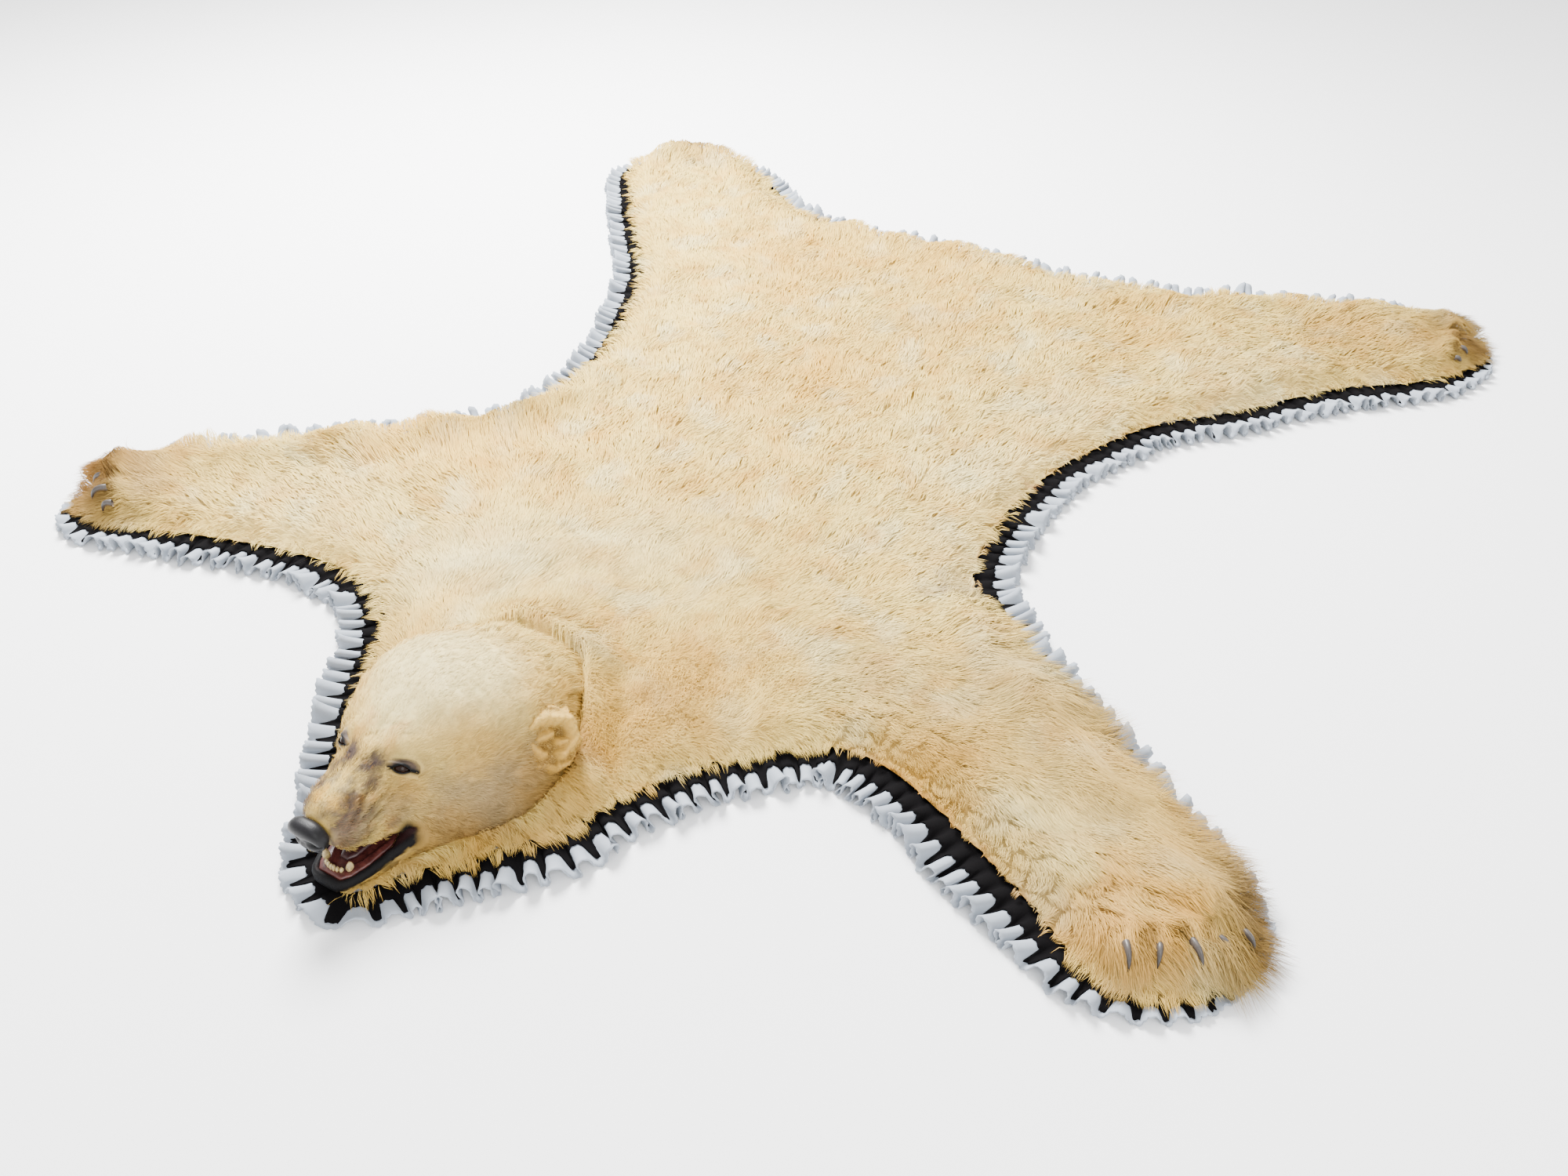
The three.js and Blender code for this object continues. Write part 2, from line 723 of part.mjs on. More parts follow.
const feltLength = (from, to, share, lift) => {
  const rings = [];
  for (let step = from; step <= to; step += 1) {
    const ends = { [from]: LENGTH_GAP, [to]: -LENGTH_GAP };
    rings.push(feltStation(step, ends[step] ?? 0, share, lift));
  }
  // Each face is split from the low place's rim to the high place's root, above and below alike
  const isHigh = (r) => (from + r) % 2 === 1;
  return skinOver(rings, (r, i) => (i === 0 && isHigh(r)) || (i === 2 && !isHigh(r)));
};

// Lengths of felt: each starts where this row of the edge table lies and runs to the next start
const feltStarts = table(["name", "row"], [
  ["throat_left", 0],
  ["foreleg_left_front", 8],
  ["foreleg_left_back", 16],
  ["flank_left", 23],
  ["hind_leg_left", 28],
  ["rump", 37],
  ["hind_leg_right", 51],
  ["flank_right", 59],
  ["foreleg_right_back", 64],
  ["foreleg_right_front", 71],
  ["throat_right", 79],
]);

const rowShare = (row) => {
  const rowAt = edgeCurve.getPoint(row / edgeRows.length);
  let best = 0;
  let nearest = Infinity;
  for (let i = 0; i < STEPS; i += 1) {
    const at = edgeAt(i / STEPS);
    const far = Math.hypot(at.x - rowAt.x, at.y - rowAt.y);
    if (far < nearest) {
      [best, nearest] = [i, far];
    }
  }
  return best;
};

// The whole rug

let hide = solidOf(makeHide()).subtract(headRoom());
for (const claw of clawsOf(GAP)) {
  hide = hide.subtract(solidOf(claw.geometry));
}
add("hide", "fur", geometryOf(hide));
add("head", "fur", geometryOf(makeHead()));

// The rounding of a block: 1 is a sphere, and less fills out its corners
const NOSE = { wide: 61, deep: 30, high: 44, z: 121, rounding: 0.72 };
const nose = roundBlock(NOSE.wide, NOSE.deep, NOSE.high, NOSE.rounding, 14, 10);
nose.translate(HEAD_MIDDLE, headRows[0].y - NOSE.deep / 2 - GAP, NOSE.z);
add("nose", "nose", nose);

for (const [name, side] of [["eye_left", 1], ["eye_right", -1]]) {
  add(name, "glass", eyeBall(side, EYE.radius));
}

add("mouth_lining", "gum", geometryOf(makeMouthLining()));
const TONGUE = { wide: 34, deep: 84, high: 12, y: -1034, z: 36, rounding: 0.8 };
const tongue = roundBlock(TONGUE.wide, TONGUE.deep, TONGUE.high, TONGUE.rounding, 10, 6);
tongue.translate(0, TONGUE.y, TONGUE.z);
add("tongue", "tongue", tongue);
const TOOTH_ROUNDING = 0.6;
for (const tooth of teeth) {
  const crown = roundBlock(tooth.wide, tooth.deep, tooth.high, TOOTH_ROUNDING, 6, 4);
  crown.translate(tooth.x, tooth.y, GUM_TOP + GAP + tooth.high / 2);
  add(tooth.name, "tooth", crown);
}

for (const claw of clawsOf(0)) {
  add(claw.name, "claw", claw.geometry);
}

const starts = feltStarts.map(({ name, row }) => ({ name, step: rowShare(row) }));
starts.forEach(({ name, step }, i) => {
  const next = starts[(i + 1) % starts.length].step;
  const to = next > step ? next : next + STEPS;
  add(`felt_pale_${name}`, "paleFelt", feltLength(step, to, 1, 0));
  add(`felt_black_${name}`, "blackFelt", feltLength(step, to, BLACK_SHARE, FELT + GAP));
});

// The origin is the middle of the rug's box, on the floor
const box = new THREE.Box3().setFromObject(group);
const middle = box.getCenter(new THREE.Vector3());
for (const mesh of group.children) {
  mesh.position.set(-middle.x, -middle.y, -box.min.z);
}

export default group;
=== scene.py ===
# A white bear's skin rug: fur, stuffed head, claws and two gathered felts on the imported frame.
# The tables are in millimetres, measured from the middle line of the bear as in the part's source.
import math

import bpy
import numpy as np
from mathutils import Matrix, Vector


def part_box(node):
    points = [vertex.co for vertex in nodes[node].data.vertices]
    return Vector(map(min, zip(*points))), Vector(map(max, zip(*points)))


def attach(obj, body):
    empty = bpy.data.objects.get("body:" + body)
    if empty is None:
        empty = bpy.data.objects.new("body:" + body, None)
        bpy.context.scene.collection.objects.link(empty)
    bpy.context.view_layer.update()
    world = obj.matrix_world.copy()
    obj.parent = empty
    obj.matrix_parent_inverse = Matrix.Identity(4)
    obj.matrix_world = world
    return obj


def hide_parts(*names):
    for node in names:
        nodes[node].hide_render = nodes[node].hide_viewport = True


MM = 0.001
LENS = 29.01
CAMERA_PLACE = (1.0907, -1.9332, 1.450)
CAMERA_PITCH = 50.806
CAMERA_TURN = 29.79

camera_data = bpy.data.cameras.new("camera")
camera_data.lens = LENS
camera_data.sensor_width = 36
camera_data.clip_end = 60
camera = bpy.data.objects.new("camera", camera_data)
bpy.context.scene.collection.objects.link(camera)
camera.location = CAMERA_PLACE
camera.rotation_euler = (math.radians(CAMERA_PITCH), 0, math.radians(CAMERA_TURN))
bpy.context.scene.camera = camera

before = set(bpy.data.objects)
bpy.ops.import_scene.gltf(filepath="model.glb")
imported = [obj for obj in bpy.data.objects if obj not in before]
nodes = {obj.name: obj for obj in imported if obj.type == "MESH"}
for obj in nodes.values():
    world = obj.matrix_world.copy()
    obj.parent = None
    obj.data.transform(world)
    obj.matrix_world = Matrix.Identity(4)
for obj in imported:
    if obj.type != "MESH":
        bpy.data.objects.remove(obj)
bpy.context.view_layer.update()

# Tables shared with the part's source

HEAD_MIDDLE = -6
EYE = {"x": 51, "y": -973, "z": 151, "radius": 11}
THROAT_TOP = 11
HEAD_FOOT = 11.35

# The skin's edge from chin to tail on the bear's left and back to the chin on its right: x, y, felt
EDGE = np.array([
    (30, -1105, 55), (85, -1030, 72), (150, -954, 78), (210, -885, 80), (262, -765, 80),
    (330, -655, 80), (418, -566, 80), (478, -524, 80), (535, -514, 80), (606, -528, 84),
    (703, -570, 86), (796, -616, 86), (885, -664, 80), (948, -703, 66), (1013, -716, 48),
    (1078, -692, 36), (1134, -634, 22), (1146, -580, 26), (1112, -526, 50), (1045, -482, 76),
    (926, -404, 80), (778, -288, 80), (608, -148, 80), (512, -30, 82), (485, 86, 84),
    (485, 227, 84), (517, 395, 80), (571, 531, 78), (640, 653, 78), (742, 760, 78),
    (833, 868, 78), (945, 1005, 80), (1086, 1118, 76), (1172, 1223, 58), (1212, 1330, 22),
    (1183, 1400, 20), (1114, 1425, 40), (1000, 1412, 75), (857, 1370, 80), (678, 1310, 80),
    (560, 1255, 80), (450, 1215, 80), (317, 1195, 80), (158, 1190, 80), (0, 1200, 80),
    (-170, 1195, 80), (-331, 1180, 80), (-480, 1195, 80), (-617, 1245, 78), (-732, 1345, 76),
    (-850, 1440, 60), (-950, 1488, 30), (-1060, 1485, 20), (-1140, 1400, 30), (-1170, 1330, 45),
    (-1150, 1250, 62), (-1065, 1140, 76), (-907, 935, 80), (-760, 760, 80), (-680, 620, 80),
    (-612, 475, 80), (-558, 329, 80), (-528, 199, 80), (-524, 82, 80), (-540, -8, 80),
    (-592, -85, 80), (-680, -168, 80), (-770, -244, 80), (-866, -322, 80), (-975, -412, 74),
    (-1085, -492, 50), (-1126, -562, 24), (-1130, -630, 22), (-1100, -690, 40), (-1030, -700, 60),
    (-940, -672, 74), (-826, -636, 76), (-699, -598, 76), (-570, -575, 78), (-470, -575, 80),
    (-385, -605, 80), (-318, -665, 80), (-262, -750, 80), (-215, -825, 80), (-160, -900, 80),
    (-110, -965, 78), (-45, -1070, 66),
], float)

# Rises and hollows of the fur: x, y, rise, reach; the last three lines aren't in the part's source
LUMPS = np.array([
    (0, -540, 26, 120), (-90, -430, 14, 130), (-190, -600, 14, 120), (200, -560, 12, 130),
    (760, -420, 20, 150), (-700, -380, 12, 170), (380, -250, 8, 160), (-330, -200, 9, 190),
    (20, 60, 6, 210), (260, 420, -6, 180), (-300, 480, 7, 200), (120, 900, 18, 230),
    (-420, 960, 12, 210), (700, 1040, 22, 200), (-760, 1120, 14, 190), (980, 1300, 26, 110),
    (1070, 1300, 16, 90), (-1010, 1370, 24, 110), (1010, -590, 26, 100), (-1050, -590, 26, 100),
    (-300, -485, 10, 50), (-230, -425, 12, 55), (-160, -365, 12, 55), (-90, -310, 9, 55),
    (600, -330, 8, 60), (700, -290, 9, 60), (430, -400, 7, 50), (-480, -200, 7, 80),
    (-60, 1080, 9, 90), (120, 1100, 8, 80), (330, 1090, 8, 80), (-600, -330, 7, 80),
], float)

# The head's rings: y, top, wide, half, foot, base
HEAD_ROWS = np.array([
    (-1092, 138, 114, 26, 18, 88), (-1078, 149, 114, 38, 30, 80), (-1050, 157, 112, 45, 40, 73),
    (-1020, 162, 106, 52, 50, 66), (-992, 169, 100, 64, 62, 52), (-965, 180, 92, 89, 94, 11),
    (-930, 196, 90, 113, 124, 11), (-880, 213, 90, 136, 154, 11), (-830, 217, 88, 149, 172, 11),
    (-780, 205, 84, 153, 174, 11), (-730, 181, 74, 142, 158, 11), (-680, 149, 62, 116, 128, 11),
    (-635, 111, 50, 88, 98, 11), (-596, 72, 38, 58, 70, 11),
], float)
JAW_ROWS = np.array([
    (-1112, 30, 24, 20, 14, 16), (-1103, 38, 26, 34, 28, 11), (-1080, 40, 26, 44, 40, 11),
    (-1040, 43, 28, 54, 52, 11), (-1000, 50, 30, 68, 68, 11), (-955, 70, 34, 88, 96, 11),
], float)

# Paws: place, facing, line, bulge, pointing, fan, length, radius
PAWS = {
    "front_left": (1070, -632, -50, 168, 14, -46, 48, 52, 8),
    "front_right": (-1072, -622, 222, 160, 18, 205, 48, 56, 8),
    "hind_left": (1150, 1318, 14, 150, 16, 12, 44, 46, 7),
    "hind_right": (-1062, 1424, 112, 158, 16, 112, 44, 46, 7),
}
TOES = 5
# Each toe's claw: share of the paw's claw length, how far it turns aside, how deep it lies in the fur
TOE_CLAWS = {
    "front_left": [(1.0, 10, 6), (0.75, -14, 12), (0.9, 4, 10), (0.7, 12, 14), (0.8, -8, 16)],
    "front_right": [(0.6, 8, 16), (0.75, -12, 12), (0.85, 6, 9), (0.9, 14, 9), (0.7, -10, 14)],
    "hind_left": [(0.6, 6, 16), (0.7, -10, 14), (0.7, 8, 14), (0.9, -4, 8), (0.8, 10, 11)],
    "hind_right": [(0.6, -8, 15), (0.75, 6, 11), (0.7, -4, 13), (0.8, 10, 11), (0.6, 4, 16)],
}

# Which way the fur lies: x, y, direction in degrees from +X, reach
FLOW = np.array([
    (0, -560, 90, 200), (0, -250, 92, 260), (0, 150, 90, 300), (0, 600, 90, 300),
    (0, 1050, 90, 260), (230, -620, 40, 130), (-230, -650, 130, 150), (300, -420, 60, 160),
    (520, -440, 15, 170), (700, -520, -28, 120), (760, -360, 12, 160), (900, -620, -34, 140),
    (960, -480, -8, 140), (1100, -620, -40, 120), (-520, -420, 172, 200), (-760, -480, 188, 200),
    (-1000, -580, 200, 180), (-620, -250, 160, 160), (420, -80, 55, 180), (-430, -60, 120, 180),
    (400, 250, 70, 180), (-430, 250, 105, 180), (520, 560, 58, 180), (700, 850, 50, 200),
    (950, 1150, 42, 200), (1150, 1330, 20, 140), (500, 1050, 65, 200), (-560, 700, 118, 180),
    (-780, 950, 124, 200), (-980, 1250, 112, 200), (-1060, 1420, 108, 140), (-480, 1050, 105, 200),
    (150, -820, -10, 120), (200, -700, 10, 110), (-200, -800, 190, 120),
], float)

# How long the fur is where it differs from the back's: x, y, length, reach
FUR_LENGTH = 46
LENGTHS = np.array([
    (560, -470, 20, 90), (660, -540, 18, 90), (780, -590, 18, 95), (880, -640, 24, 80),
    (200, -560, 15, 100), (290, -480, 20, 90), (180, -700, 16, 90), (640, -260, 66, 120),
    (800, -350, 74, 120), (930, -430, 70, 110), (1060, -520, 62, 90), (0, 1120, 62, 240),
    (-90, -420, 58, 160), (-300, -500, 54, 120), (620, 640, 26, 90), (720, 780, 26, 90),
    (840, 930, 26, 100), (960, 1060, 28, 110), (1090, 1260, 30, 120), (-1000, 1300, 32, 140),
    (1080, -620, 44, 90), (-1060, -600, 40, 120), (-600, -540, 28, 120), (-800, -600, 26, 120),
    (500, 320, 24, 70), (470, -100, 30, 60), (1150, -575, 70, 60), (1100, -505, 76, 60),
    (1010, -440, 88, 80), (740, -240, 84, 90),
], float)

# Where the cut edge of the hide shows, the fur along it being short: x, y, reach
BARE_EDGES = np.array([
    (579, -531, 50), (640, -556, 50), (693, -582, 50), (769, -629, 50), (834, -661, 40),
    (545, 380, 60), (571, 464, 60), (605, 520, 60), (635, 576, 60), (675, 615, 60), (713, 650, 60),
    (522, -51, 40), (507, 47, 40),
], float)

# Curls: where the fur is short and woolly rather than straight
CURLS = np.array([(200, -580, 130), (290, -470, 90), (180, -720, 80), (60, -560, 70)], float)


def srgb(red, green, blue, share=1.0):
    """Colour for the shaders from the usual 0 to 255 values, darkened to a share."""
    part = np.array([red, green, blue], float) / 255
    return share * np.where(part <= 0.04045, part / 12.92, ((part + 0.055) / 1.055) ** 2.4)


FUR_SHARE = 0.68
CREAM = srgb(254, 221, 124, FUR_SHARE)
WHITE = srgb(255, 236, 168, FUR_SHARE)
SAND = srgb(240, 184, 72, FUR_SHARE)
TAN = srgb(206, 158, 78, FUR_SHARE)
BROWN = srgb(130, 96, 52, FUR_SHARE)
GREY = srgb(186, 164, 124, FUR_SHARE)
ORANGE = srgb(224, 150, 58, FUR_SHARE)
PINK = srgb(150, 92, 66, FUR_SHARE)
BLACK = srgb(12, 11, 12)
VIOLET = srgb(58, 47, 50)
MAROON = srgb(32, 11, 11)

# Colour of the fur on the body: x, y, reach, strength, colour; the brown patch at 1112, -517 is painted
# shade on the far side of the front left paw
BODY_PATCHES = [
    (-397, 944, 190, 0.6, SAND), (-85, 1042, 170, 0.55, SAND), (-25, 497, 170, 0.5, SAND),
    (-185, 287, 150, 0.45, SAND), (-451, -185, 130, 0.6, SAND), (-655, -235, 120, 0.5, SAND),
    (482, 1001, 150, 0.45, SAND), (-50, -51, 150, 0.35, SAND), (-66, -300, 120, 0.4, WHITE),
    (-300, -500, 120, 0.6, WHITE), (395, 267, 110, 0.5, WHITE), (471, 0, 100, 0.5, WHITE),
    (794, 847, 150, 0.5, WHITE), (446, 572, 120, 0.4, WHITE), (-677, -472, 150, 0.35, WHITE),
    (217, -518, 110, 0.75, SAND), (225, -600, 90, 0.6, TAN), (169, -709, 80, 0.75, SAND),
    (150, -760, 60, 0.5, ORANGE), (221, -893, 80, 0.7, TAN), (461, -379, 90, 0.35, GREY),
    (690, -269, 130, 0.45, GREY), (846, -341, 120, 0.6, TAN), (1007, -476, 110, 0.75, TAN),
    (1136, -560, 70, 0.8, BROWN), (1110, -500, 60, 0.6, BROWN), (946, -634, 70, 0.5, ORANGE),
    (1020, -660, 60, 0.35, ORANGE), (644, -475, 110, 0.65, TAN), (620, -562, 90, 0.6, SAND),
    (828, -529, 90, 0.4, WHITE), (807, -640, 60, 0.55, TAN), (-1029, -549, 120, 0.75, TAN),
    (-1080, -640, 100, 0.85, BROWN), (-1110, -600, 60, 0.5, ORANGE), (891, 1191, 120, 0.5, TAN),
    (1129, 1327, 110, 0.6, TAN), (1175, 1320, 75, 0.8, BROWN), (-1002, 1400, 90, 0.5, TAN),
    (-1040, 1460, 60, 0.5, BROWN), (464, -109, 24, 0.8, GREY), (470, -125, 9, 0.9, PINK),
    (492, 306, 22, 0.85, PINK), (-190, -760, 90, 0.5, GREY), (-230, -700, 70, 0.4, SAND),
    (488, -94, 34, 0.6, GREY), (43, 768, 90, 0.5, TAN), (155, 787, 80, 0.4, SAND),
    (-329, 744, 80, 0.45, SAND), (-93, 474, 70, 0.5, SAND), (1112, -517, 60, 0.5, BROWN),
    (1072, -463, 60, 0.4, GREY), (-217, -448, 70, 0.6, WHITE), (-238, -610, 60, 0.4, SAND),
    (32, -525, 26, 0.5, ORANGE), (-43, -557, 30, 0.5, TAN), (374, -582, 80, 0.5, CREAM),
    (294, -843, 90, 0.5, CREAM), (882, 1248, 90, 0.4, TAN), (1024, 1241, 80, 0.5, TAN),
]

# Colour of the head: x from its middle, y, z, reach, strength, colour; both sides alike
HEAD_PATCHES = [
    (30, -810, 206, 90, 0.75, WHITE), (0, -880, 212, 60, 0.7, WHITE), (0, -935, 196, 34, 0.5, WHITE),
    (125, -935, 60, 70, 0.75, GREY), (150, -880, 70, 60, 0.7, GREY), (110, -900, 147, 40, 0.4, SAND),
    (165, -820, 60, 70, 0.6, TAN), (90, -960, 40, 50, 0.6, TAN), (160, -790, 40, 50, 0.3, TAN),
    (120, -740, 130, 50, 0.4, SAND), (70, -620, 60, 60, 0.3, SAND), (60, -1000, 120, 26, 0.6, TAN),
    (30, -1036, 132, 30, 0.45, GREY * 0.6), (50, -1000, 100, 24, 0.4, GREY * 0.8),
    (28, -968, 176, 11, 0.3, ORANGE), (16, -950, 186, 8, 0.35, ORANGE), (30, -940, 190, 8, 0.3, ORANGE),
    (18, -1003, 165, 15, 0.95, VIOLET), (25, -988, 167, 11, 0.85, VIOLET),
    (34, -1012, 150, 10, 0.7, VIOLET),
    (14, -1046, 157, 10, 0.6, GREY), (28, -1052, 148, 13, 0.85, VIOLET), (40, -1062, 128, 15, 0.85, VIOLET),
    (36, -1074, 116, 13, 0.7, PINK), (46, -1040, 118, 11, 0.6, VIOLET), (14, -1070, 150, 12, 0.7, SAND),
    (44, -1050, 100, 10, 0.5, PINK), (46, -1030, 138, 9, 0.6, TAN), (0, -1094, 104, 14, 1.0, BLACK),
    (16, -1090, 100, 12, 0.9, BLACK), (28, -1084, 96, 9, 0.7, VIOLET),
    (36, -1080, 126, 14, 0.85, VIOLET), (38, -1080, 104, 13, 0.7, PINK), (28, -1078, 144, 10, 0.8, VIOLET),
    (40, -1068, 92, 12, 0.7, VIOLET), (14, -1082, 144, 10, 0.5, GREY * 0.7),
    (38, -1086, 100, 17, 0.75, GREY * 0.35), (34, -1088, 128, 12, 0.7, VIOLET * 1.4),
    (44, -1062, 112, 15, 0.6, GREY * 0.5), (52, -1020, 84, 12, 0.5, PINK), (30, -1020, 150, 9, 0.6, VIOLET),
    (40, -1040, 142, 8, 0.5, ORANGE * 0.6), (48, -1056, 86, 10, 0.6, GREY * 0.4),
]

rng = np.random.default_rng(7)


def chance(step, kind):
    """A number between 0 and 1 that looks random but is always the same for a step and a kind."""
    wave = np.sin(np.asarray(step, float) * 12.9898 + kind * 78.233) * 43758.5453
    return wave - np.floor(wave)


def smooth(low, high, value):
    part = np.clip((value - low) / (high - low), 0, 1)
    return part * part * (3 - 2 * part)


def hump(x, y, at_x, at_y, reach):
    """1 at a place, falling softly to almost nothing at twice its reach."""
    return np.exp(-((x - at_x) ** 2 + (y - at_y) ** 2) / reach**2)


def highest(x, y, rows):
    """The largest of the humps in rows of x, y and reach."""
    best = np.zeros(np.shape(x))
    for at_x, at_y, reach in rows:
        best = np.maximum(best, hump(x, y, at_x, at_y, reach))
    return best


def oval(u, v, at_u, at_v, wide, high):
    """A hump with two widths."""
    return np.exp(-(((u - at_u) / wide) ** 2 + ((v - at_v) / high) ** 2))


def round_hump(x, y, z, at_x, at_y, at_z, reach):
    return np.exp(-((x - at_x) ** 2 + (y - at_y) ** 2 + (z - at_z) ** 2) / reach**2)


def mix(tint, colour, share):
    """Colours moved towards another one, by a share for each place."""
    return tint + (colour - tint) * share[:, None]


def unit(vectors):
    return vectors / np.maximum(np.linalg.norm(vectors, axis=-1, keepdims=True), 1e-9)


def turned(dx, dy, angle):
    """Directions in the plan turned by an angle in radians."""
    return dx * np.cos(angle) - dy * np.sin(angle), dx * np.sin(angle) + dy * np.cos(angle)


def grid(xs, ys):
    """The two coordinates of every point of a grid, row by row."""
    return [g.ravel() for g in np.meshgrid(xs, ys)]


def grid_quads(rows, columns):
    """Quads that join neighbours in a grid of points numbered row by row."""
    number = np.arange(rows * columns).reshape(rows, columns)
    quads = [number[:-1, :-1], number[:-1, 1:], number[1:, 1:], number[1:, :-1]]
    return np.stack(quads, -1).reshape(-1, 4)


def ring_quads(number):
    """Quads between rows of point numbers that close on themselves."""
    after = np.roll(number, -1, 1)
    return np.stack([number[:-1], number[1:], after[1:], after[:-1]], -1).reshape(-1, 4)


def faces_of(*corners):
    """Faces from the point numbers of their corners."""
    return np.concatenate([np.stack(face, 1) for face in corners])


def waves(x, y, size, seed, z=0.0):
    """Smooth uneven values, about -1 to 1, that change over a distance of size."""
    total = 0.0
    for k in range(5):
        turn = 2.4 * k + seed
        rate = (0.75 + 0.23 * k) * 2 * math.pi / size
        bend = 1.1 * np.sin((x * math.sin(turn) - y * math.cos(turn)) * rate * 0.6 + k)
        total = total + np.sin(
            (x * math.cos(turn) + y * math.sin(turn) + z * math.sin(2 * turn)) * rate
            + bend + seed * 1.7 * k
        )
    return total / 3.2


# The edge curve, sampled closely

def edge_curve(per_part=24):
    count = len(EDGE)
    out = []
    for i in range(count):
        p0, p1, p2, p3 = (EDGE[(i + k) % count] for k in (-1, 0, 1, 2))
        d0, d1, d2 = (np.sum((b - a) ** 2) ** 0.25 for a, b in ((p0, p1), (p1, p2), (p2, p3)))
        m1 = ((p1 - p0) / d0 - (p2 - p0) / (d0 + d1) + (p2 - p1) / d1) * d1
        m2 = ((p2 - p1) / d1 - (p3 - p1) / (d1 + d2) + (p3 - p2) / d2) * d1
        t = (np.arange(per_part) / per_part)[:, None]
        out.append(
            p1 + m1 * t + (3 * (p2 - p1) - 2 * m1 - m2) * t**2 + (2 * (p1 - p2) + m1 + m2) * t**3
        )
    return np.vstack(out)


CURVE = edge_curve()
CURVE_CLOSED = np.vstack([CURVE, CURVE[:1]])
CURVE_RUN = np.concatenate([[0], np.cumsum(np.hypot(*np.diff(CURVE_CLOSED[:, :2], axis=0).T))])
EDGE_LENGTH = CURVE_RUN[-1]


def edge_at(run):
    """Places on the edge, outward directions and felt widths, at distances along it."""
    part = np.mod(run, EDGE_LENGTH)
    x, y, felt = (np.interp(part, CURVE_RUN, CURVE_CLOSED[:, k]) for k in range(3))
    ahead = np.mod(part + 4, EDGE_LENGTH)
    behind = np.mod(part - 4, EDGE_LENGTH)
    ax, ay, bx, by = (
        np.interp(p, CURVE_RUN, CURVE_CLOSED[:, k]) for p in (ahead, behind) for k in (0, 1)
    )
    length = np.hypot(ax - bx, ay - by)
    return x, y, (ay - by) / length, -(ax - bx) / length, felt


# How far each place lies inside the edge, on a grid

GRID = 10.0
GRID_LOW = EDGE[:, :2].min(0) - 120
GRID_HIGH = EDGE[:, :2].max(0) + 120


def inset_grid():
    xs = np.arange(GRID_LOW[0], GRID_HIGH[0], GRID)
    ys = np.arange(GRID_LOW[1], GRID_HIGH[1], GRID)
    line = CURVE[::2, :2]
    closed = CURVE_CLOSED[::2, :2]
    out = np.zeros((len(ys), len(xs)))
    for j, y in enumerate(ys):
        far = np.sqrt(((xs[:, None] - line[:, 0]) ** 2 + (y - line[:, 1]) ** 2).min(1))
        y1, y2 = closed[:-1, 1], closed[1:, 1]
        cuts = (y1 > y) != (y2 > y)
        at = closed[:-1, 0][cuts] + (y - y1[cuts]) / (y2[cuts] - y1[cuts]) * (
            closed[1:, 0][cuts] - closed[:-1, 0][cuts]
        )
        odd = (at[None, :] > xs[:, None]).sum(1) % 2 == 1
        out[j] = np.where(odd, far, -far)
    return out


INSET = inset_grid()


def look(x, y):
    """How far places lie inside the edge, negative outside it."""
    u = np.clip((x - GRID_LOW[0]) / GRID, 0, INSET.shape[1] - 1.001)
    v = np.clip((y - GRID_LOW[1]) / GRID, 0, INSET.shape[0] - 1.001)
    i, j = u.astype(int), v.astype(int)
    s, t = u - i, v - j
    lower = INSET[j, i] * (1 - s) + INSET[j, i + 1] * s
    return lower * (1 - t) + (INSET[j + 1, i] * (1 - s) + INSET[j + 1, i + 1] * s) * t


def outward(x, y):
    """Direction from each place straight out over the nearest edge."""
    dx = look(x - 12, y) - look(x + 12, y)
    dy = look(x, y - 12) - look(x, y + 12)
    length = np.maximum(np.hypot(dx, dy), 1e-6)
    return dx / length, dy / length


# Heights of the fur's top: inside, at the rim, and what the far side and the head's foot add

PILE = 33
RIM_COAT = 23
FLUFF = 30
COLLAR = 24
# The way from the camera to the far side, and where the fur stands up most there: x, y, reach
FAR_SIDE = (-0.49, 0.87)
FLUFFIEST = [(-800, -280, 260), (-560, -40, 120), (900, -380, 160), (640, -170, 110)]


def toe_places(behind):
    """A place for each toe, some way behind the root of its claw."""
    places = []
    for px, py, facing, line, bulge, *_ in PAWS.values():
        angle = math.radians(facing)
        for toe in range(TOES):
            share = toe / (TOES - 1) - 0.5
            across, back = share * line, bulge * (2 * share) ** 2 + behind
            places.append((
                px - across * math.sin(angle) - back * math.cos(angle),
                py + across * math.cos(angle) - back * math.sin(angle),
            ))
    return places


TOE_MOUNDS = toe_places(14)
TOE_RISE = 18
TOE_REACH = 20


def fur_top(x, y):
    height = np.full(np.shape(x), float(PILE))
    for lx, ly, rise, reach in LUMPS:
        height += rise * hump(x, y, lx, ly, reach)
    for tx, ty in TOE_MOUNDS:
        height += TOE_RISE * hump(x, y, tx, ty, TOE_REACH)
    height += 3.5 * np.sin(x / 61 + 1.3 * np.sin(y / 97)) * np.cos(y / 73 + x / 190)
    return height + 3.0 * waves(x, y, 210, 11.0) + 2.0 * waves(x, y, 95, 12.0)


def under_head(x, y):
    """How far a place lies inside the stuffed head's foot, or minus its distance from it."""
    foot = np.interp(y, HEAD_ROWS[5:, 0], HEAD_ROWS[5:, 4], left=-60)
    jaw = np.interp(y, JAW_ROWS[:, 0], JAW_ROWS[:, 4], right=-60)
    aside = np.abs(x - HEAD_MIDDLE)
    within = np.maximum(foot - aside, jaw - np.abs(x))
    past = np.maximum(y - HEAD_ROWS[-1, 0], JAW_ROWS[0, 0] - y)
    return np.where(past > 0, -np.hypot(np.maximum(-within, 0), past), within)


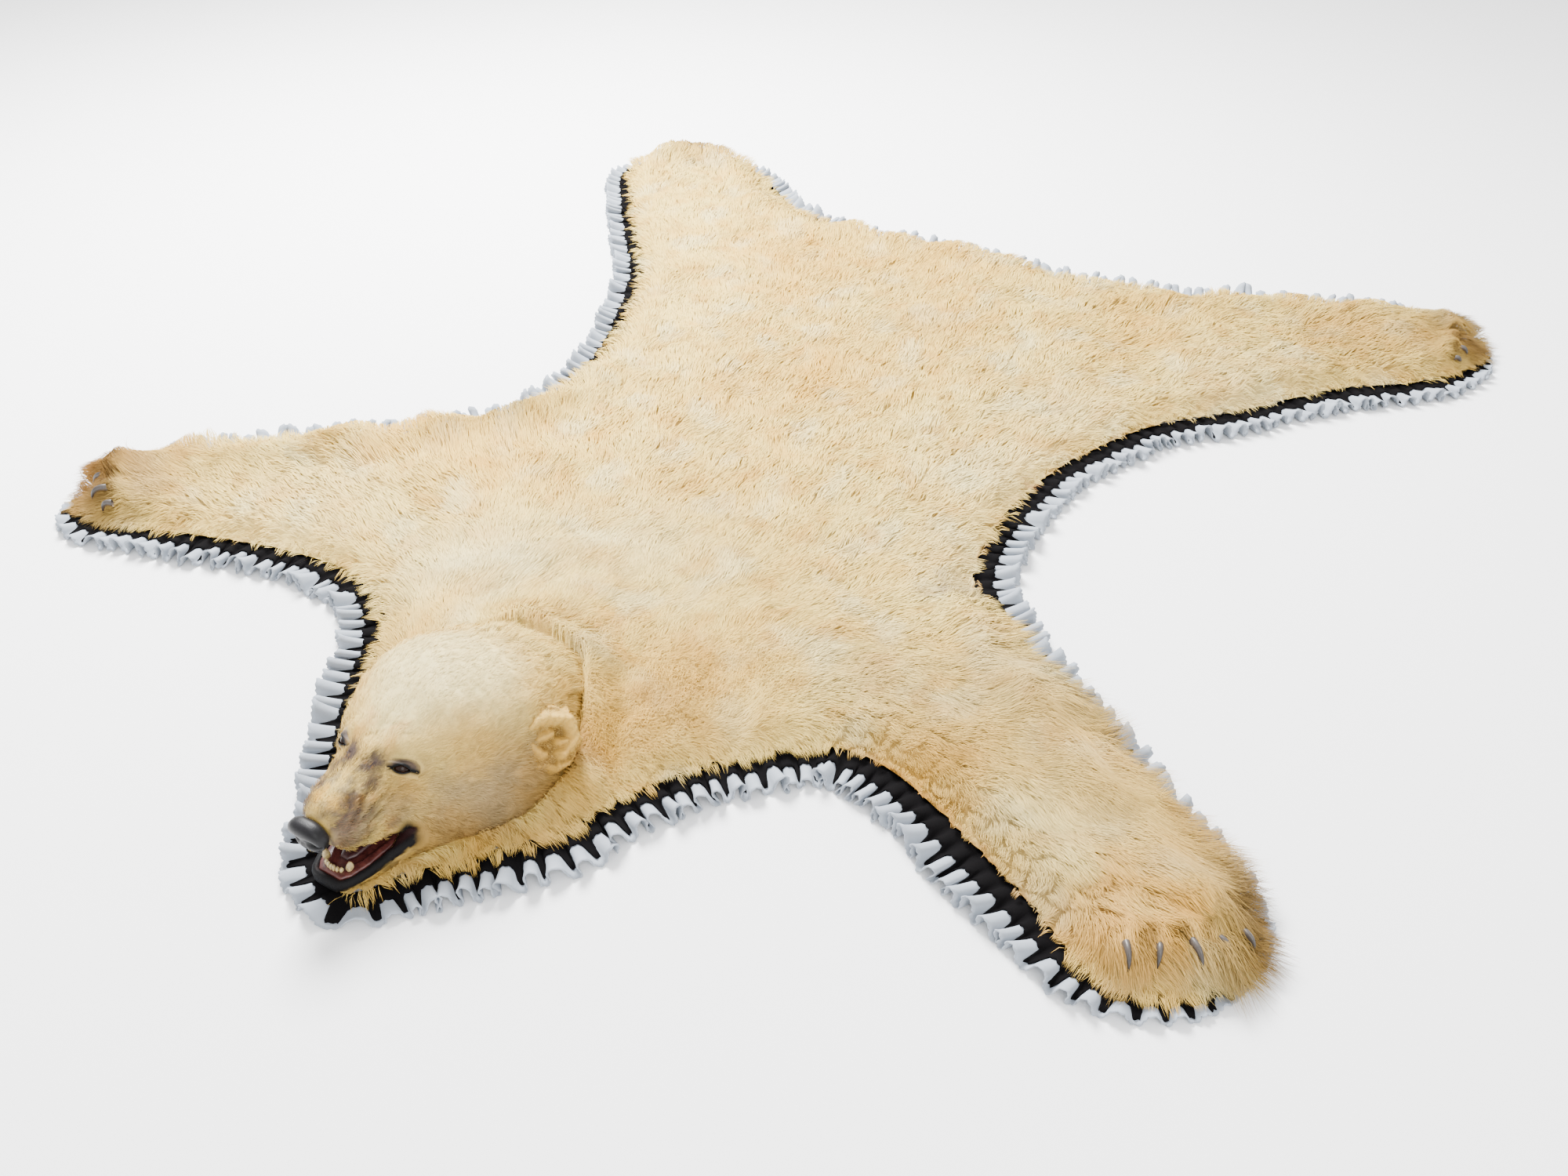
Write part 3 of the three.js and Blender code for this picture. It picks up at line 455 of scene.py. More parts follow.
def fluffed(x, y):
    """How strongly the fur stands up along the edges of the far side."""
    ox, oy = outward(x, y)
    far = smooth(0.08, 0.42, FAR_SIDE[0] * ox + FAR_SIDE[1] * oy)
    for fx, fy, reach in FLUFFIEST:
        far = far * (1 + 0.5 * hump(x, y, fx, fy, reach))
    return far * (1 - smooth(30, 120, look(x, y))) * (0.85 + 0.4 * waves(x, y, 230, 8.8))


def coat(x, y):
    inset = look(x, y)
    within = RIM_COAT + (fur_top(x, y) - RIM_COAT) * smooth(0, 60, inset)
    beyond = RIM_COAT - 8 * np.clip(-inset / 35, 0, 1.4)
    collar = COLLAR * smooth(-80, -4, under_head(x, y))
    collar = collar * (smooth(-900, -800, y) + 0.9 * smooth(-760, -660, y))
    return np.where(inset > 0, within, beyond) + FLUFF * fluffed(x, y) + collar


def skin(x, y):
    inset = look(x, y)
    height = 11 + (coat(x, y) - 26) * smooth(5, 60, inset)
    return np.where(under_head(x, y) > -4, THROAT_TOP - 0.5, np.maximum(height, 9))


def flow(x, y):
    """Direction in which the fur lies."""
    dx = np.zeros(np.shape(x))
    dy = np.full(np.shape(x), 0.04)
    for fx, fy, turn, reach in FLOW:
        near = hump(x, y, fx, fy, reach)
        dx += near * math.cos(math.radians(turn))
        dy += near * math.sin(math.radians(turn))
    swirl = 0.34 * waves(x, y, 260, 1.0) + 0.26 * waves(x, y, 90, 2.2)
    length = np.maximum(np.hypot(dx, dy), 1e-6)
    dx, dy = dx / length, dy / length
    dx, dy = turned(dx, dy, swirl)
    ox, oy = outward(x, y)
    rim = 0.85 * (1 - smooth(0, 75, look(x, y)))
    dx, dy = dx + (ox - dx) * rim, dy + (oy - dy) * rim
    length = np.maximum(np.hypot(dx, dy), 1e-6)
    return dx / length, dy / length


def body_tint(x, y):
    mottle = 0.5 + 0.5 * waves(x, y, 340, 0.6)
    fleck = 0.5 + 0.5 * waves(x, y, 120, 4.1)
    tint = mix(CREAM, SAND, 0.75 * mottle * fleck)
    tint = mix(tint, WHITE, 0.6 * smooth(0.1, 0.9, waves(x, y, 190, 6.3)))
    tint = mix(tint, (SAND + TAN) / 2, 0.55 * smooth(0.25, 0.9, waves(x, y, 115, 7.7)))
    wx = x + 26 * waves(x, y, 130, 3.0)
    wy = y + 26 * waves(x, y, 130, 5.0)
    for px, py, reach, strength, colour in BODY_PATCHES:
        tint = mix(tint, colour, strength * hump(wx, wy, px, py, reach))
    # Painted shade: the fur is darker where it meets the stuffed head, in the crease between them
    near = np.exp(-(((under_head(wx, wy) + 8) / 16) ** 2)) * (1 - 0.7 * smooth(-760, -680, y))
    tint = mix(tint, TAN, 0.4 * near * (x > -60))
    # Painted shade: the fur is darkened in the clefts between the toes
    toes = np.array(toe_places(24)).reshape(-1, TOES, 2)
    for cx, cy in ((toes[:, 1:] + toes[:, :-1]) / 2).reshape(-1, 2):
        tint = mix(tint, BROWN * 0.7, 0.75 * hump(x, y, cx, cy, 14))
    cut = 0.8 * highest(x, y, BARE_EDGES) * (1 - smooth(2, 9, look(x, y)))
    return mix(tint, ORANGE * 0.7, cut)


def head_tint(points):
    x, y, z = points.T
    aside = np.abs(x - HEAD_MIDDLE)
    mottle = 0.5 + 0.5 * waves(x, y, 120, 0.9, z)
    tint = mix(CREAM, SAND, 0.5 * mottle)
    wy = y + 7 * waves(x, y, 30, 3.3, z) + 3 * waves(x, y, 10, 3.9, z)
    wz = z + 7 * waves(x, y, 30, 5.1, z) + 3 * waves(x, y, 10, 5.9, z)
    for px, py, pz, reach, strength, colour in HEAD_PATCHES:
        near = np.clip(1.6 * round_hump(aside, wy, wz, px, py, pz, reach), 0, 1)
        tint = mix(tint, colour, strength * near)
    # Grey streaks on the muzzle, and painted shade over the lower head: the temples and cheeks
    streak = 0.5 * smooth(0.0, 0.8, waves(x, y, 34, 8.1, z)) * (1 - smooth(-1015, -980, y))
    tint = mix(tint, GREY * 0.5, streak)
    shade = 0.3 * smooth(0.0, 0.9, waves(x, y, 75, 2.9, z)) * (1 - smooth(120, 170, z))
    return mix(tint, GREY * 0.8, shade)


# Materials

def new_material(name, colour, roughness, specular):
    material = bpy.data.materials.new(name)
    material.use_nodes = True
    shader = material.node_tree.nodes["Principled BSDF"]
    shader.inputs["Base Color"].default_value = (*[float(c) for c in colour], 1)
    shader.inputs["Roughness"].default_value = roughness
    shader.inputs["Specular IOR Level"].default_value = specular
    return material, material.node_tree, shader


def noise(tree, scale, detail=4.0, roughness=0.6):
    place = tree.nodes.new("ShaderNodeTexCoord")
    node = tree.nodes.new("ShaderNodeTexNoise")
    node.inputs["Scale"].default_value = scale
    node.inputs["Detail"].default_value = detail
    node.inputs["Roughness"].default_value = roughness
    tree.links.new(place.outputs["Object"], node.inputs["Vector"])
    return node.outputs["Fac"]


def ramp(tree, source, stops):
    node = tree.nodes.new("ShaderNodeValToRGB")
    band = node.color_ramp
    for k, (at, colour) in enumerate(stops):
        stop = band.elements[k] if k < 2 else band.elements.new(at)
        stop.position = at
        stop.color = (*[float(c) for c in colour], 1)
    tree.links.new(source, node.inputs["Fac"])
    return node.outputs["Color"]


def multiply(tree, one, other):
    node = tree.nodes.new("ShaderNodeMix")
    node.data_type = "RGBA"
    node.blend_type = "MULTIPLY"
    node.inputs[0].default_value = 1.0
    tree.links.new(one, node.inputs[6])
    tree.links.new(other, node.inputs[7])
    return node.outputs[2]


def bump(tree, shader, height, strength, distance):
    node = tree.nodes.new("ShaderNodeBump")
    node.inputs["Strength"].default_value = strength
    node.inputs["Distance"].default_value = distance
    tree.links.new(height, node.inputs["Height"])
    tree.links.new(node.outputs["Normal"], shader.inputs["Normal"])


def tinted_material(name, dark, light, scale, roughness, bumpy=None, specular=0.12):
    """Takes its colour from the tint painted on the piece, made uneven by fine noise."""
    material, tree, shader = new_material(name, (0.5, 0.5, 0.5), roughness, specular)
    tint = tree.nodes.new("ShaderNodeAttribute")
    tint.attribute_name = "tint"
    grain = noise(tree, scale)
    shade = ramp(tree, grain, [(0.3, (dark,) * 3), (0.7, (light,) * 3)])
    colour = multiply(tree, tint.outputs["Color"], shade)
    tree.links.new(colour, shader.inputs["Base Color"])
    if bumpy:
        bump(tree, shader, grain, *bumpy)
    return material


def grained_material(name, roughness, specular, scale, detail, stops, bumpy=None):
    """Its colour runs between the stops with fine noise; bumpy is the bump's strength and depth."""
    material, tree, shader = new_material(name, stops[0][1], roughness, specular)
    grain = noise(tree, scale, detail)
    tree.links.new(ramp(tree, grain, stops), shader.inputs["Base Color"])
    if bumpy:
        bump(tree, shader, grain, *bumpy)
    return material


fur_material = tinted_material("fur", 0.90, 1.0, 60, 0.7)
# The skin under the fur is darkened by its grain as well as by its tint: painted shade between the strands,
# made uneven
skin_material = tinted_material("skin_under_fur", 0.86, 0.98, 260, 0.9, (0.6, 0.003))
hide_material = tinted_material("head_skin", 0.90, 1.0, 420, 0.6, (0.6, 0.0012))


def felt_material(name, colour, light):
    material, tree, shader = new_material(name, colour, 0.95, 0.05)
    fibre = noise(tree, 900, 6.0, 0.75)
    cloud = noise(tree, 26, 3.0)
    pale = ramp(tree, fibre, [(0.3, colour * 0.82), (0.72, colour * light)])
    soil = ramp(tree, cloud, [(0.3, (0.93,) * 3), (0.65, (1.0,) * 3)])
    tree.links.new(multiply(tree, pale, soil), shader.inputs["Base Color"])
    bump(tree, shader, fibre, 0.5, 0.0006)
    return material


pale_felt_material = felt_material("pale_felt", srgb(158, 165, 174), 1.0)
black_felt_material = felt_material("black_felt", srgb(10, 9, 10), 1.4)

# Pieces


def shift_of_frame():
    low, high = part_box("eye_left")
    middle = (np.array(low) + np.array(high)) / 2 / MM
    return middle - np.array([HEAD_MIDDLE + EYE["x"], EYE["y"], EYE["z"]])


SHIFT = shift_of_frame()


def mesh_piece(name, points, faces, material, tint=None, normals=None, plan_map=False):
    """A piece from points in millimetres and lists of faces with 3 or 4 corners."""
    mesh = bpy.data.meshes.new(name)
    points = np.asarray(points, float)
    place = (points + SHIFT) * MM
    faces = [np.asarray(f, np.int32) for f in faces if len(f)]
    corners = np.concatenate([f.ravel() for f in faces])
    sizes = np.concatenate([np.full(len(f), f.shape[1], np.int32) for f in faces])
    mesh.vertices.add(len(place))
    mesh.loops.add(len(corners))
    mesh.polygons.add(len(sizes))
    mesh.vertices.foreach_set("co", place.ravel())
    mesh.loops.foreach_set("vertex_index", corners)
    mesh.polygons.foreach_set("loop_start", np.concatenate([[0], np.cumsum(sizes)[:-1]]))
    mesh.polygons.foreach_set("use_smooth", np.ones(len(sizes), bool))
    if tint is not None:
        layer = mesh.color_attributes.new("tint", "FLOAT_COLOR", "POINT")
        layer.data.foreach_set("color", np.hstack([tint, np.ones((len(tint), 1))]).ravel())
    if plan_map:
        low, high = points[:, :2].min(0), points[:, :2].max(0)
        flat = (points[:, :2] - low) / (high - low).max()
        layer = mesh.uv_layers.new(name="OFBake")
        layer.data.foreach_set("uv", (0.002 + 0.996 * flat)[corners].ravel())
    mesh.update(calc_edges=True)
    if normals is not None:
        mesh.normals_split_custom_set_from_vertices(normals)
    mesh.materials.append(material)
    piece = bpy.data.objects.new(name, mesh)
    bpy.context.scene.collection.objects.link(piece)
    return piece


def finish_piece(piece, slot_name, *replaced):
    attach(piece, "root")
    if replaced:
        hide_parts(*replaced)


# Skin under the fur

SKIN_STEP = 17


def make_skin():
    xs = np.arange(GRID_LOW[0], GRID_HIGH[0], SKIN_STEP)
    ys = np.arange(GRID_LOW[1], GRID_HIGH[1], SKIN_STEP)
    x, y = grid(xs, ys)
    inset = look(x, y)
    ox, oy = outward(x, y)
    # Points just outside the edge are drawn in to it, so that the sheet ends on the edge
    drawn = np.where(inset < 0, inset - 1, 0)
    px, py = x + ox * drawn, y + oy * drawn
    quads = grid_quads(len(ys), len(xs))
    quads = quads[(inset[quads] > -SKIN_STEP).all(1) & ((inset[quads] > 0).sum(1) >= 2)]
    used, new = np.unique(quads, return_inverse=True)
    points = np.stack([px, py, skin(px, py)], 1)[used]
    # Painted shade: the skin under the strands is darker than their fur, for the depth between them
    tint = body_tint(points[:, 0], points[:, 1]) * 0.94
    piece = mesh_piece("pelt", points, [new.reshape(-1, 4)], skin_material, tint)
    # The flat skin is what the edge curve encloses
    finish_piece(piece, "fur", "hide")


make_skin()

# Fur

FUR_STEP = 2.1
STRAND_WIDE = 1.05
# The fur is finer here, and elsewhere this share of its strands is left: x, y, reach
FINE_FUR = [(110, -640, 360), (950, -520, 240), (-1050, -590, 120), (1150, 1310, 100), (640, -420, 160)]
COARSE_SHARE = 0.22
CLUMP = 30.0


def strands(root, middle, tip, side, half, normal, tint, root_shade, tip_shade):
    """Points, faces, colours and normals of thin bent kites, widest in the middle."""
    n = len(root)
    points = np.stack([root, middle - side * half, middle + side * half, tip], 1).reshape(-1, 3)
    start = np.arange(n)[:, None] * 4
    faces = np.vstack([start + np.array([0, 2, 1]), start + np.array([1, 2, 3])])
    # The strands' roots are painted darker than their tips: painted shade deep in the coat
    between = (root_shade + tip_shade) / 2
    shades = np.stack([root_shade, between, between, tip_shade], 1)
    colours = np.clip((tint[:, None, :] * shades[:, :, None]).reshape(-1, 3), 0, 1)
    return points, [faces], colours, np.repeat(normal, 4, 0)


def grow_body():
    xs = np.arange(GRID_LOW[0], GRID_HIGH[0], FUR_STEP)
    ys = np.arange(GRID_LOW[1], GRID_HIGH[1], FUR_STEP)
    x, y = grid(xs, ys)
    x = x + rng.uniform(-0.5, 0.5, len(x)) * FUR_STEP
    y = y + rng.uniform(-0.5, 0.5, len(y)) * FUR_STEP
    fine = np.clip(1.5 * highest(x, y, FINE_FUR), 0, 1)
    share = COARSE_SHARE + (1 - COARSE_SHARE) * fine
    kept = (look(x, y) > 0.5) & (under_head(x, y) < 3) & (rng.random(len(x)) < share)
    x, y, share = x[kept], y[kept], share[kept]
    n = len(x)
    inset = look(x, y)
    dx, dy = flow(x, y)
    curl = highest(x, y, CURLS)
    long = np.full(n, float(FUR_LENGTH))
    for lx, ly, length, reach in LENGTHS:
        long += (length - long) * hump(x, y, lx, ly, reach)
    long = long * (1 + 0.18 * waves(x, y, 150, 7.0)) * rng.uniform(0.7, 1.15, n)
    long = long * (0.62 + 0.38 * smooth(0, 45, inset)) * (1 - 0.35 * curl)
    fluff = fluffed(x, y)
    long = long * (1 + 0.35 * fluff) * (1 - 0.75 * highest(x, y, BARE_EDGES) * (1 - smooth(15, 60, inset)))
    tuft = highest(x, y, [(tx, ty, TOE_REACH) for tx, ty in toe_places(0)])
    long = long * (1 + 0.5 * tuft)
    wander = rng.normal(0, 0.12 + 0.55 * curl + 0.15 * tuft, n)
    ax, ay = turned(dx, dy, wander)

    # Locks: strands of one cell lean towards the line of the cell's middle
    wx = x + 9 * waves(x, y, 70, 8.0)
    wy = y + 9 * waves(x, y, 70, 9.0)
    i, j = np.floor(wx / CLUMP), np.floor(wy / CLUMP)
    cell = i * 131 + j * 17
    cx = (i + 0.5 + 0.7 * (chance(cell, 1) - 0.5)) * CLUMP - (wx - x)
    cy = (j + 0.5 + 0.7 * (chance(cell, 2) - 0.5)) * CLUMP - (wy - y)
    lean = 0.5 * (chance(cell, 3) - 0.5)
    cdx, cdy = turned(dx, dy, lean)
    reach = long * (0.85 + 0.3 * chance(cell, 4))
    rim = (1 - smooth(10, 110, inset)) * (1 - 0.6 * highest(x, y, BARE_EDGES))
    loose = np.clip(rim + smooth(0.30, 0.95, waves(x, y, 170, 4.4)), 0, 1) * (1 - curl)
    pull = (0.34 + 0.28 * loose) * (1 - 0.6 * curl) * rng.uniform(0.6, 1.1, n)
    bend = rng.normal(0, 0.07, n) * long

    def along_strand(share, pulled, bent):
        """Places at a share of the strands' length, some way towards the line of their cell."""
        px, py = x + ax * long * share, y + ay * long * share
        return (
            px + (cx + cdx * reach * share - px) * pull * pulled - ay * bend * bent,
            py + (cy + cdy * reach * share - py) * pull * pulled + ax * bend * bent,
        )

    mid_x, mid_y = along_strand(0.5, 0.45, 1)
    tip_x, tip_y = along_strand(1, 1, 0)

    lift = (1.0 + 2.2 * loose + 3.0 * curl) * (chance(cell, 5) - 0.5) + 7 * tuft
    rough = 0.45 + 0.55 * np.maximum(loose, curl)
    root_z = skin(x, y) - 1.0
    mid_z = coat(mid_x, mid_y) - rng.uniform(0, 5, n) * rough + lift
    tip_z = coat(tip_x, tip_y) - 2 + rng.uniform(-3, 3, n) * rough + lift * 1.4
    tip_z = np.where(under_head(tip_x, tip_y) > 0, root_z + 26, tip_z)
    root = np.stack([x, y, root_z], 1)
    middle = np.stack([mid_x, mid_y, np.maximum(mid_z, root_z + 2)], 1)
    tip = np.stack([tip_x, tip_y, np.maximum(tip_z, 9)], 1)

    step = 9.0
    slope_x = (coat(x + step, y) - coat(x - step, y)) / (2 * step)
    slope_y = (coat(x, y + step) - coat(x, y - step)) / (2 * step)
    up = unit(np.stack([-slope_x, -slope_y, np.ones(n)], 1))
    along = unit(tip - root)
    side = unit(np.cross(along, up))
    roll = (rng.normal(0, 0.45, n) * rough)[:, None]
    flat_side = side * np.cos(roll) + np.cross(along, side) * np.sin(roll)
    turn = (rng.normal(0, 0.16, n) + 0.4 * (chance(cell, 6) - 0.5)) * rough
    normal = unit(up + side * np.tan(np.clip(turn, -1, 1))[:, None] + along * 0.15)
    half = (STRAND_WIDE / 2 * (1 - 0.3 * rim) * rng.uniform(0.7, 1.2, n) / np.sqrt(share))[:, None]

    tint = body_tint(x, y)
    tone = rng.normal(1.0, 0.035, n) + 0.09 * (chance(cell, 7) - 0.5) * rough
    warm = 0.08 * (chance(cell, 8) - 0.4)[:, None]
    tint = tint * (1 - warm * np.array([0.1, 0.5, 1.4]))
    parts = {
        f"fur_{word}_{leg}": (sign * x > 330) & behind
        for leg, behind in (("foreleg", y < -60), ("hind_leg", y > 600))
        for word, sign in (("left", 1), ("right", -1))
    }
    limb = np.any(list(parts.values()), axis=0)
    parts["fur_neck"] = ~limb & (y < -200)
    parts["fur_back"] = ~limb & (y >= -200) & (y < 520)
    parts["fur_rump"] = ~limb & (y >= 520)
    for name, chosen in parts.items():
        # Roots at 0.90 and tips at 1.03: painted shade deep in the coat
        points, faces, colours, normals = strands(
            root[chosen], middle[chosen], tip[chosen], flat_side[chosen], half[chosen],
            normal[chosen], tint[chosen], 0.90 * tone[chosen], 1.03 * tone[chosen],
        )
        piece = mesh_piece(name, points, faces, fur_material, colours, normals, plan_map=True)
        finish_piece(piece, "fur")


grow_body()

# Felts: one long strip each, gathered into loops that stand up at the rim

PLEAT = 30.0
STATIONS = 8
FELT = 2.0
PLEAT_HEIGHT = 0.9
CREST = 0.18
ROWS = np.array([0, 0.22, 0.42, 0.6, 0.76, 0.9, 1.0])
SCALLOP = 3
BLACK_ROWS = 5
BLACK_SHARE = 0.52
BLACK_DIP = 0.62
FELT_TUCK = 8
NOTCH_DEPTH = 4.0
NOTCH_PITCH = 11


def loop_table(rest_angle, count=64):
    """One gather as a bent line: share of the pitch along and across, for a widest angle."""
    turn = np.linspace(0, 2 * math.pi, count + 1)
    angle = rest_angle * np.sin(turn)
    pace = (1 - CREST * np.cos(turn)) / count
    ahead, up = np.cos(angle) * pace, np.sin(angle) * pace
    run = np.concatenate([[0], np.cumsum((ahead[1:] + ahead[:-1]) / 2)])
    rise = np.concatenate([[0], np.cumsum((up[1:] + up[:-1]) / 2)])
    return turn / (2 * math.pi), run / run[-1], rise / run[-1]


def felt_grid(shares, dip=0.0):
    """Points of the gathered strip for shares of its width, wider by dip between its loops."""
    pleats = int(round(EDGE_LENGTH / PLEAT))
    pitch = EDGE_LENGTH / pleats
    station = np.arange(pleats * STATIONS)
    pleat = station // STATIONS
    phase = (station % STATIONS) / STATIONS

    def eased(kind, part):
        """A chance value for each gather, going over to the next gather's."""
        own, following = chance(pleat, kind), chance((pleat + 1) % pleats, kind)
        return own + (following - own) * part

    size = 0.6 + 0.65 * eased(11, smooth(0.6, 1.0, phase))
    lean = 1.5 * (chance(pleat, 12) - 0.5)
    shift = 0.55 * (eased(13, phase) - 0.5)
    x, y, ox, oy, felt = edge_at((pleat + phase) * pitch)
    narrow = np.clip(felt / 80, 0.25, 1)
    trough = smooth(0.4, 0.85, 0.5 + 0.5 * np.cos(2 * math.pi * phase))
    rows = []
    for share in shares:
        # Towards the rim the loops are rounder, higher and looser
        part, run, rise = loop_table(1.15 + 0.62 * share ** 0.8)
        along, up = np.interp(phase, part, run), np.interp(phase, part, rise)
        reach = share * (1 + dip * trough)
        out = (felt * (0.94 + 0.12 * chance(pleat, 14)) + FELT_TUCK) * reach - FELT_TUCK
        height = up * pitch * PLEAT_HEIGHT * size * narrow * (0.12 + 0.88 * share)
        height = np.maximum(height, 0)
        extra = (along - phase) * pitch * narrow * (0.3 + 0.7 * share)
        sway = (lean * height * 0.8 + shift * pitch * share) * narrow
        crumple = share * narrow * waves(x, y, 46, 9.0)
        out = out - 0.15 * height + 3 * share * waves(x, y, 160, 6.0) + 3 * crumple
        height = np.maximum(height + 2.0 * crumple * up / max(up.max(), 0.1), 0)
        move = extra + sway
        rows.append(np.stack([
            x + ox * out - oy * move,
            y + oy * out + ox * move,
            FELT / 2 + 0.3 + height,
        ], 1))
    return np.array(rows)


def normals_of(rows):
    """Upward normals of a strip's stations."""
    across = np.gradient(rows, axis=0)
    along = (np.roll(rows, -1, 1) - np.roll(rows, 1, 1)) / 2
    normal = unit(np.cross(across, along))
    return np.where(normal[..., 2:3].mean() < 0, -normal, normal)


def felt_sheet(name, rows, material):
    """Sheet from rows of stations, its rim row having SCALLOP points for every station."""
    count = rows.shape[1]
    body = rows[:-1].reshape(-1, 3)
    points = np.vstack([body, scalloped(rows)])
    number = np.arange(len(body)).reshape(-1, count)
    first = len(body) + np.arange(count) * SCALLOP
    a, b, end = number[-1], np.roll(number[-1], -1), np.roll(first, -1)
    fans = faces_of(
        (a, first, first + 1), (a, first + 1, b), (b, first + 1, first + 2), (b, first + 2, end),
    )
    piece = mesh_piece(name, points, [ring_quads(number), fans], material)
    thick = piece.modifiers.new("thickness", "SOLIDIFY")
    thick.thickness = FELT * MM
    thick.offset = 0
    return piece


def scalloped(rows):
    """The rim row with points between its stations, drawn in by turns like pinked cloth."""
    inner, outer = rows[-2], rows[-1]
    after, before, beyond = (np.roll(outer, k, 0) for k in (-1, 1, -2))
    rim = []
    for k in range(SCALLOP):
        t = k / SCALLOP
        rim.append(0.5 * (
            2 * outer + (after - before) * t
            + (2 * before - 5 * outer + 4 * after - beyond) * t**2
            + (3 * outer - before - 3 * after + beyond) * t**3
        ))
    rim = np.stack(rim, 1).reshape(-1, 3)
    run = np.cumsum(np.linalg.norm(np.roll(rim, -1, 0) - rim, axis=1))
    inward = unit(np.repeat(inner - outer, SCALLOP, 0))
    notch = np.abs(np.sin(math.pi * run / NOTCH_PITCH)) ** 0.7
    return rim + inward * (NOTCH_DEPTH * (1 - notch))[:, None]


def make_felts():
    pale = felt_grid(ROWS)
    pale_piece = felt_sheet("pale_felt_gathered", pale, pale_felt_material)
    shares = ROWS[:BLACK_ROWS] / ROWS[BLACK_ROWS - 1] * BLACK_SHARE
    under = felt_grid(shares, BLACK_DIP)
    black = under + normals_of(under) * (FELT + 0.9)
    black[..., 2] = np.maximum(black[..., 2], under[..., 2] + 1.5)
    black_piece = felt_sheet("black_felt_gathered", black, black_felt_material)
    for piece, word in ((pale_piece, "pale"), (black_piece, "black")):
        finish_piece(piece, f"{word}_felt", *[n for n in sorted(nodes) if n.startswith(f"felt_{word}_")])
    straight = felt_grid(shares)[-1]


make_felts()

# Head

VOXEL = 4.6
HEAD_FEATURES = [
    # x from the middle, y, z, how far out it stands, reach
    (46, -958, 172, 5.0, 17), (28, -950, 184, 2.0, 14), (120, -900, 70, 7.0, 42),
    (95, -965, 60, 5.0, 26), (64, -985, 118, -3.5, 16), (36, -1000, 160, -2.5, 10),
    (20, -1046, 156, 1.5, 12), (46, -1058, 104, 4.0, 14), (150, -760, 40, -6.0, 26),
    (150, -845, 92, 3.5, 26), (118, -812, 140, -5.0, 16), (62, -880, 205, 3.0, 40),
]


def copy_of(node, name, voxel, rounds):
    """A closer mesh of a CAD node with its facets smoothed away, in millimetres."""
    base = bpy.data.objects.new(name, nodes[node].data.copy())
    bpy.context.scene.collection.objects.link(base)
    remesh = base.modifiers.new("even", "REMESH")
    remesh.mode = "VOXEL"
    remesh.voxel_size = voxel * MM
    relax = base.modifiers.new("relax", "SMOOTH")
    relax.factor = 0.5
    relax.iterations = rounds
    bpy.context.view_layer.update()
    made = bpy.data.meshes.new_from_object(base.evaluated_get(bpy.context.evaluated_depsgraph_get()))

    def values(items, field, width=1, kind=np.int32):
        found = np.empty(len(items) * width, kind)
        items.foreach_get(field, found)
        return found

    points = values(made.vertices, "co", 3, float).reshape(-1, 3)
    normals = values(made.vertices, "normal", 3, float).reshape(-1, 3)
    sizes = values(made.polygons, "loop_total")
    corners = values(made.loops, "vertex_index")
    starts = np.concatenate([[0], np.cumsum(sizes)[:-1]])
    faces = [
        corners[starts[sizes == k][:, None] + np.arange(k)] for k in (3, 4) if (sizes == k).any()
    ]
    bpy.data.objects.remove(base)
    bpy.data.meshes.remove(made)
    return points / MM - SHIFT, normals, faces


def row_value(rows, y, column):
    return np.interp(y, rows[:, 0], rows[:, column])


def mouth_parts(points):
    """Shares of black lip and of red mouth skin at places on the head."""
    x, y, z = points.T
    aside = np.abs(x - HEAD_MIDDLE * smooth(40, 90, z))
    snout_base = row_value(HEAD_ROWS, y, 5)
    jaw_top = row_value(JAW_ROWS, y, 1)
    front = 1 - smooth(-1000, -986, y)
    jaw_side = row_value(JAW_ROWS, y, 3)
    snout_side = row_value(HEAD_ROWS, y, 4)
    lower = smooth(jaw_top - 20, jaw_top - 16, z) * (1 - smooth(54, 60, z)) * front
    corner = oval(y, z, -1002, 52, 15, 22) * smooth(40, 48, aside)
    upper_edge = (
        (1 - smooth(snout_base + 3, snout_base + 7, z)) * smooth(56, 62, z)
        * smooth(-1040, -1010, y) * front
    )
    lip = np.clip(np.maximum(np.maximum(lower, corner * 1.6), upper_edge), 0, 1)
    inside_jaw = (1 - smooth(jaw_side - 14, jaw_side - 8, aside)) * (1 - smooth(52, 58, z))
    palate = (1 - smooth(snout_side - 9, snout_side - 3, aside)) * smooth(50, 56, z)
    palate = palate * (1 - smooth(snout_base + 6, snout_base + 12, z))
    red = np.clip(np.maximum(inside_jaw * smooth(jaw_top - 20, jaw_top - 14, z), palate), 0, 1)
    red = red * (1 - smooth(-968, -958, y)) * smooth(-1106, -1100, y)
    return lip * (1 - red), red


EYE_GAZE = np.array([0.52, -0.52, 0.68])
EYE_SLIT = np.array([0.80, 0.52, -0.30])


def eye_axes(side):
    """The eye's middle, the way it looks, the slit's direction outward and the way up its lids."""
    centre = np.array([HEAD_MIDDLE + side * EYE["x"], EYE["y"], EYE["z"]], float)
    gaze = unit(EYE_GAZE * [side, 1, 1])
    slit = EYE_SLIT * [side, 1, 1]
    slit = unit(slit - gaze * slit.dot(gaze))
    upward = np.cross(gaze, slit)
    return centre, gaze, slit, upward * np.sign(upward[2])


def eye_dark(points):
    """Share of bare eyelid at places on the head."""
    bare = np.zeros(len(points))
    for side in (1, -1):
        centre, _, slit, upward = eye_axes(side)
        away = points - centre
        u, v = away @ slit, away @ upward
        near = ((u - 1) / 29) ** 2 + ((v - 3) / 15) ** 2
        bare = np.maximum(bare, np.exp(-near * 1.2) * (np.linalg.norm(away, axis=1) < 40))
    return bare


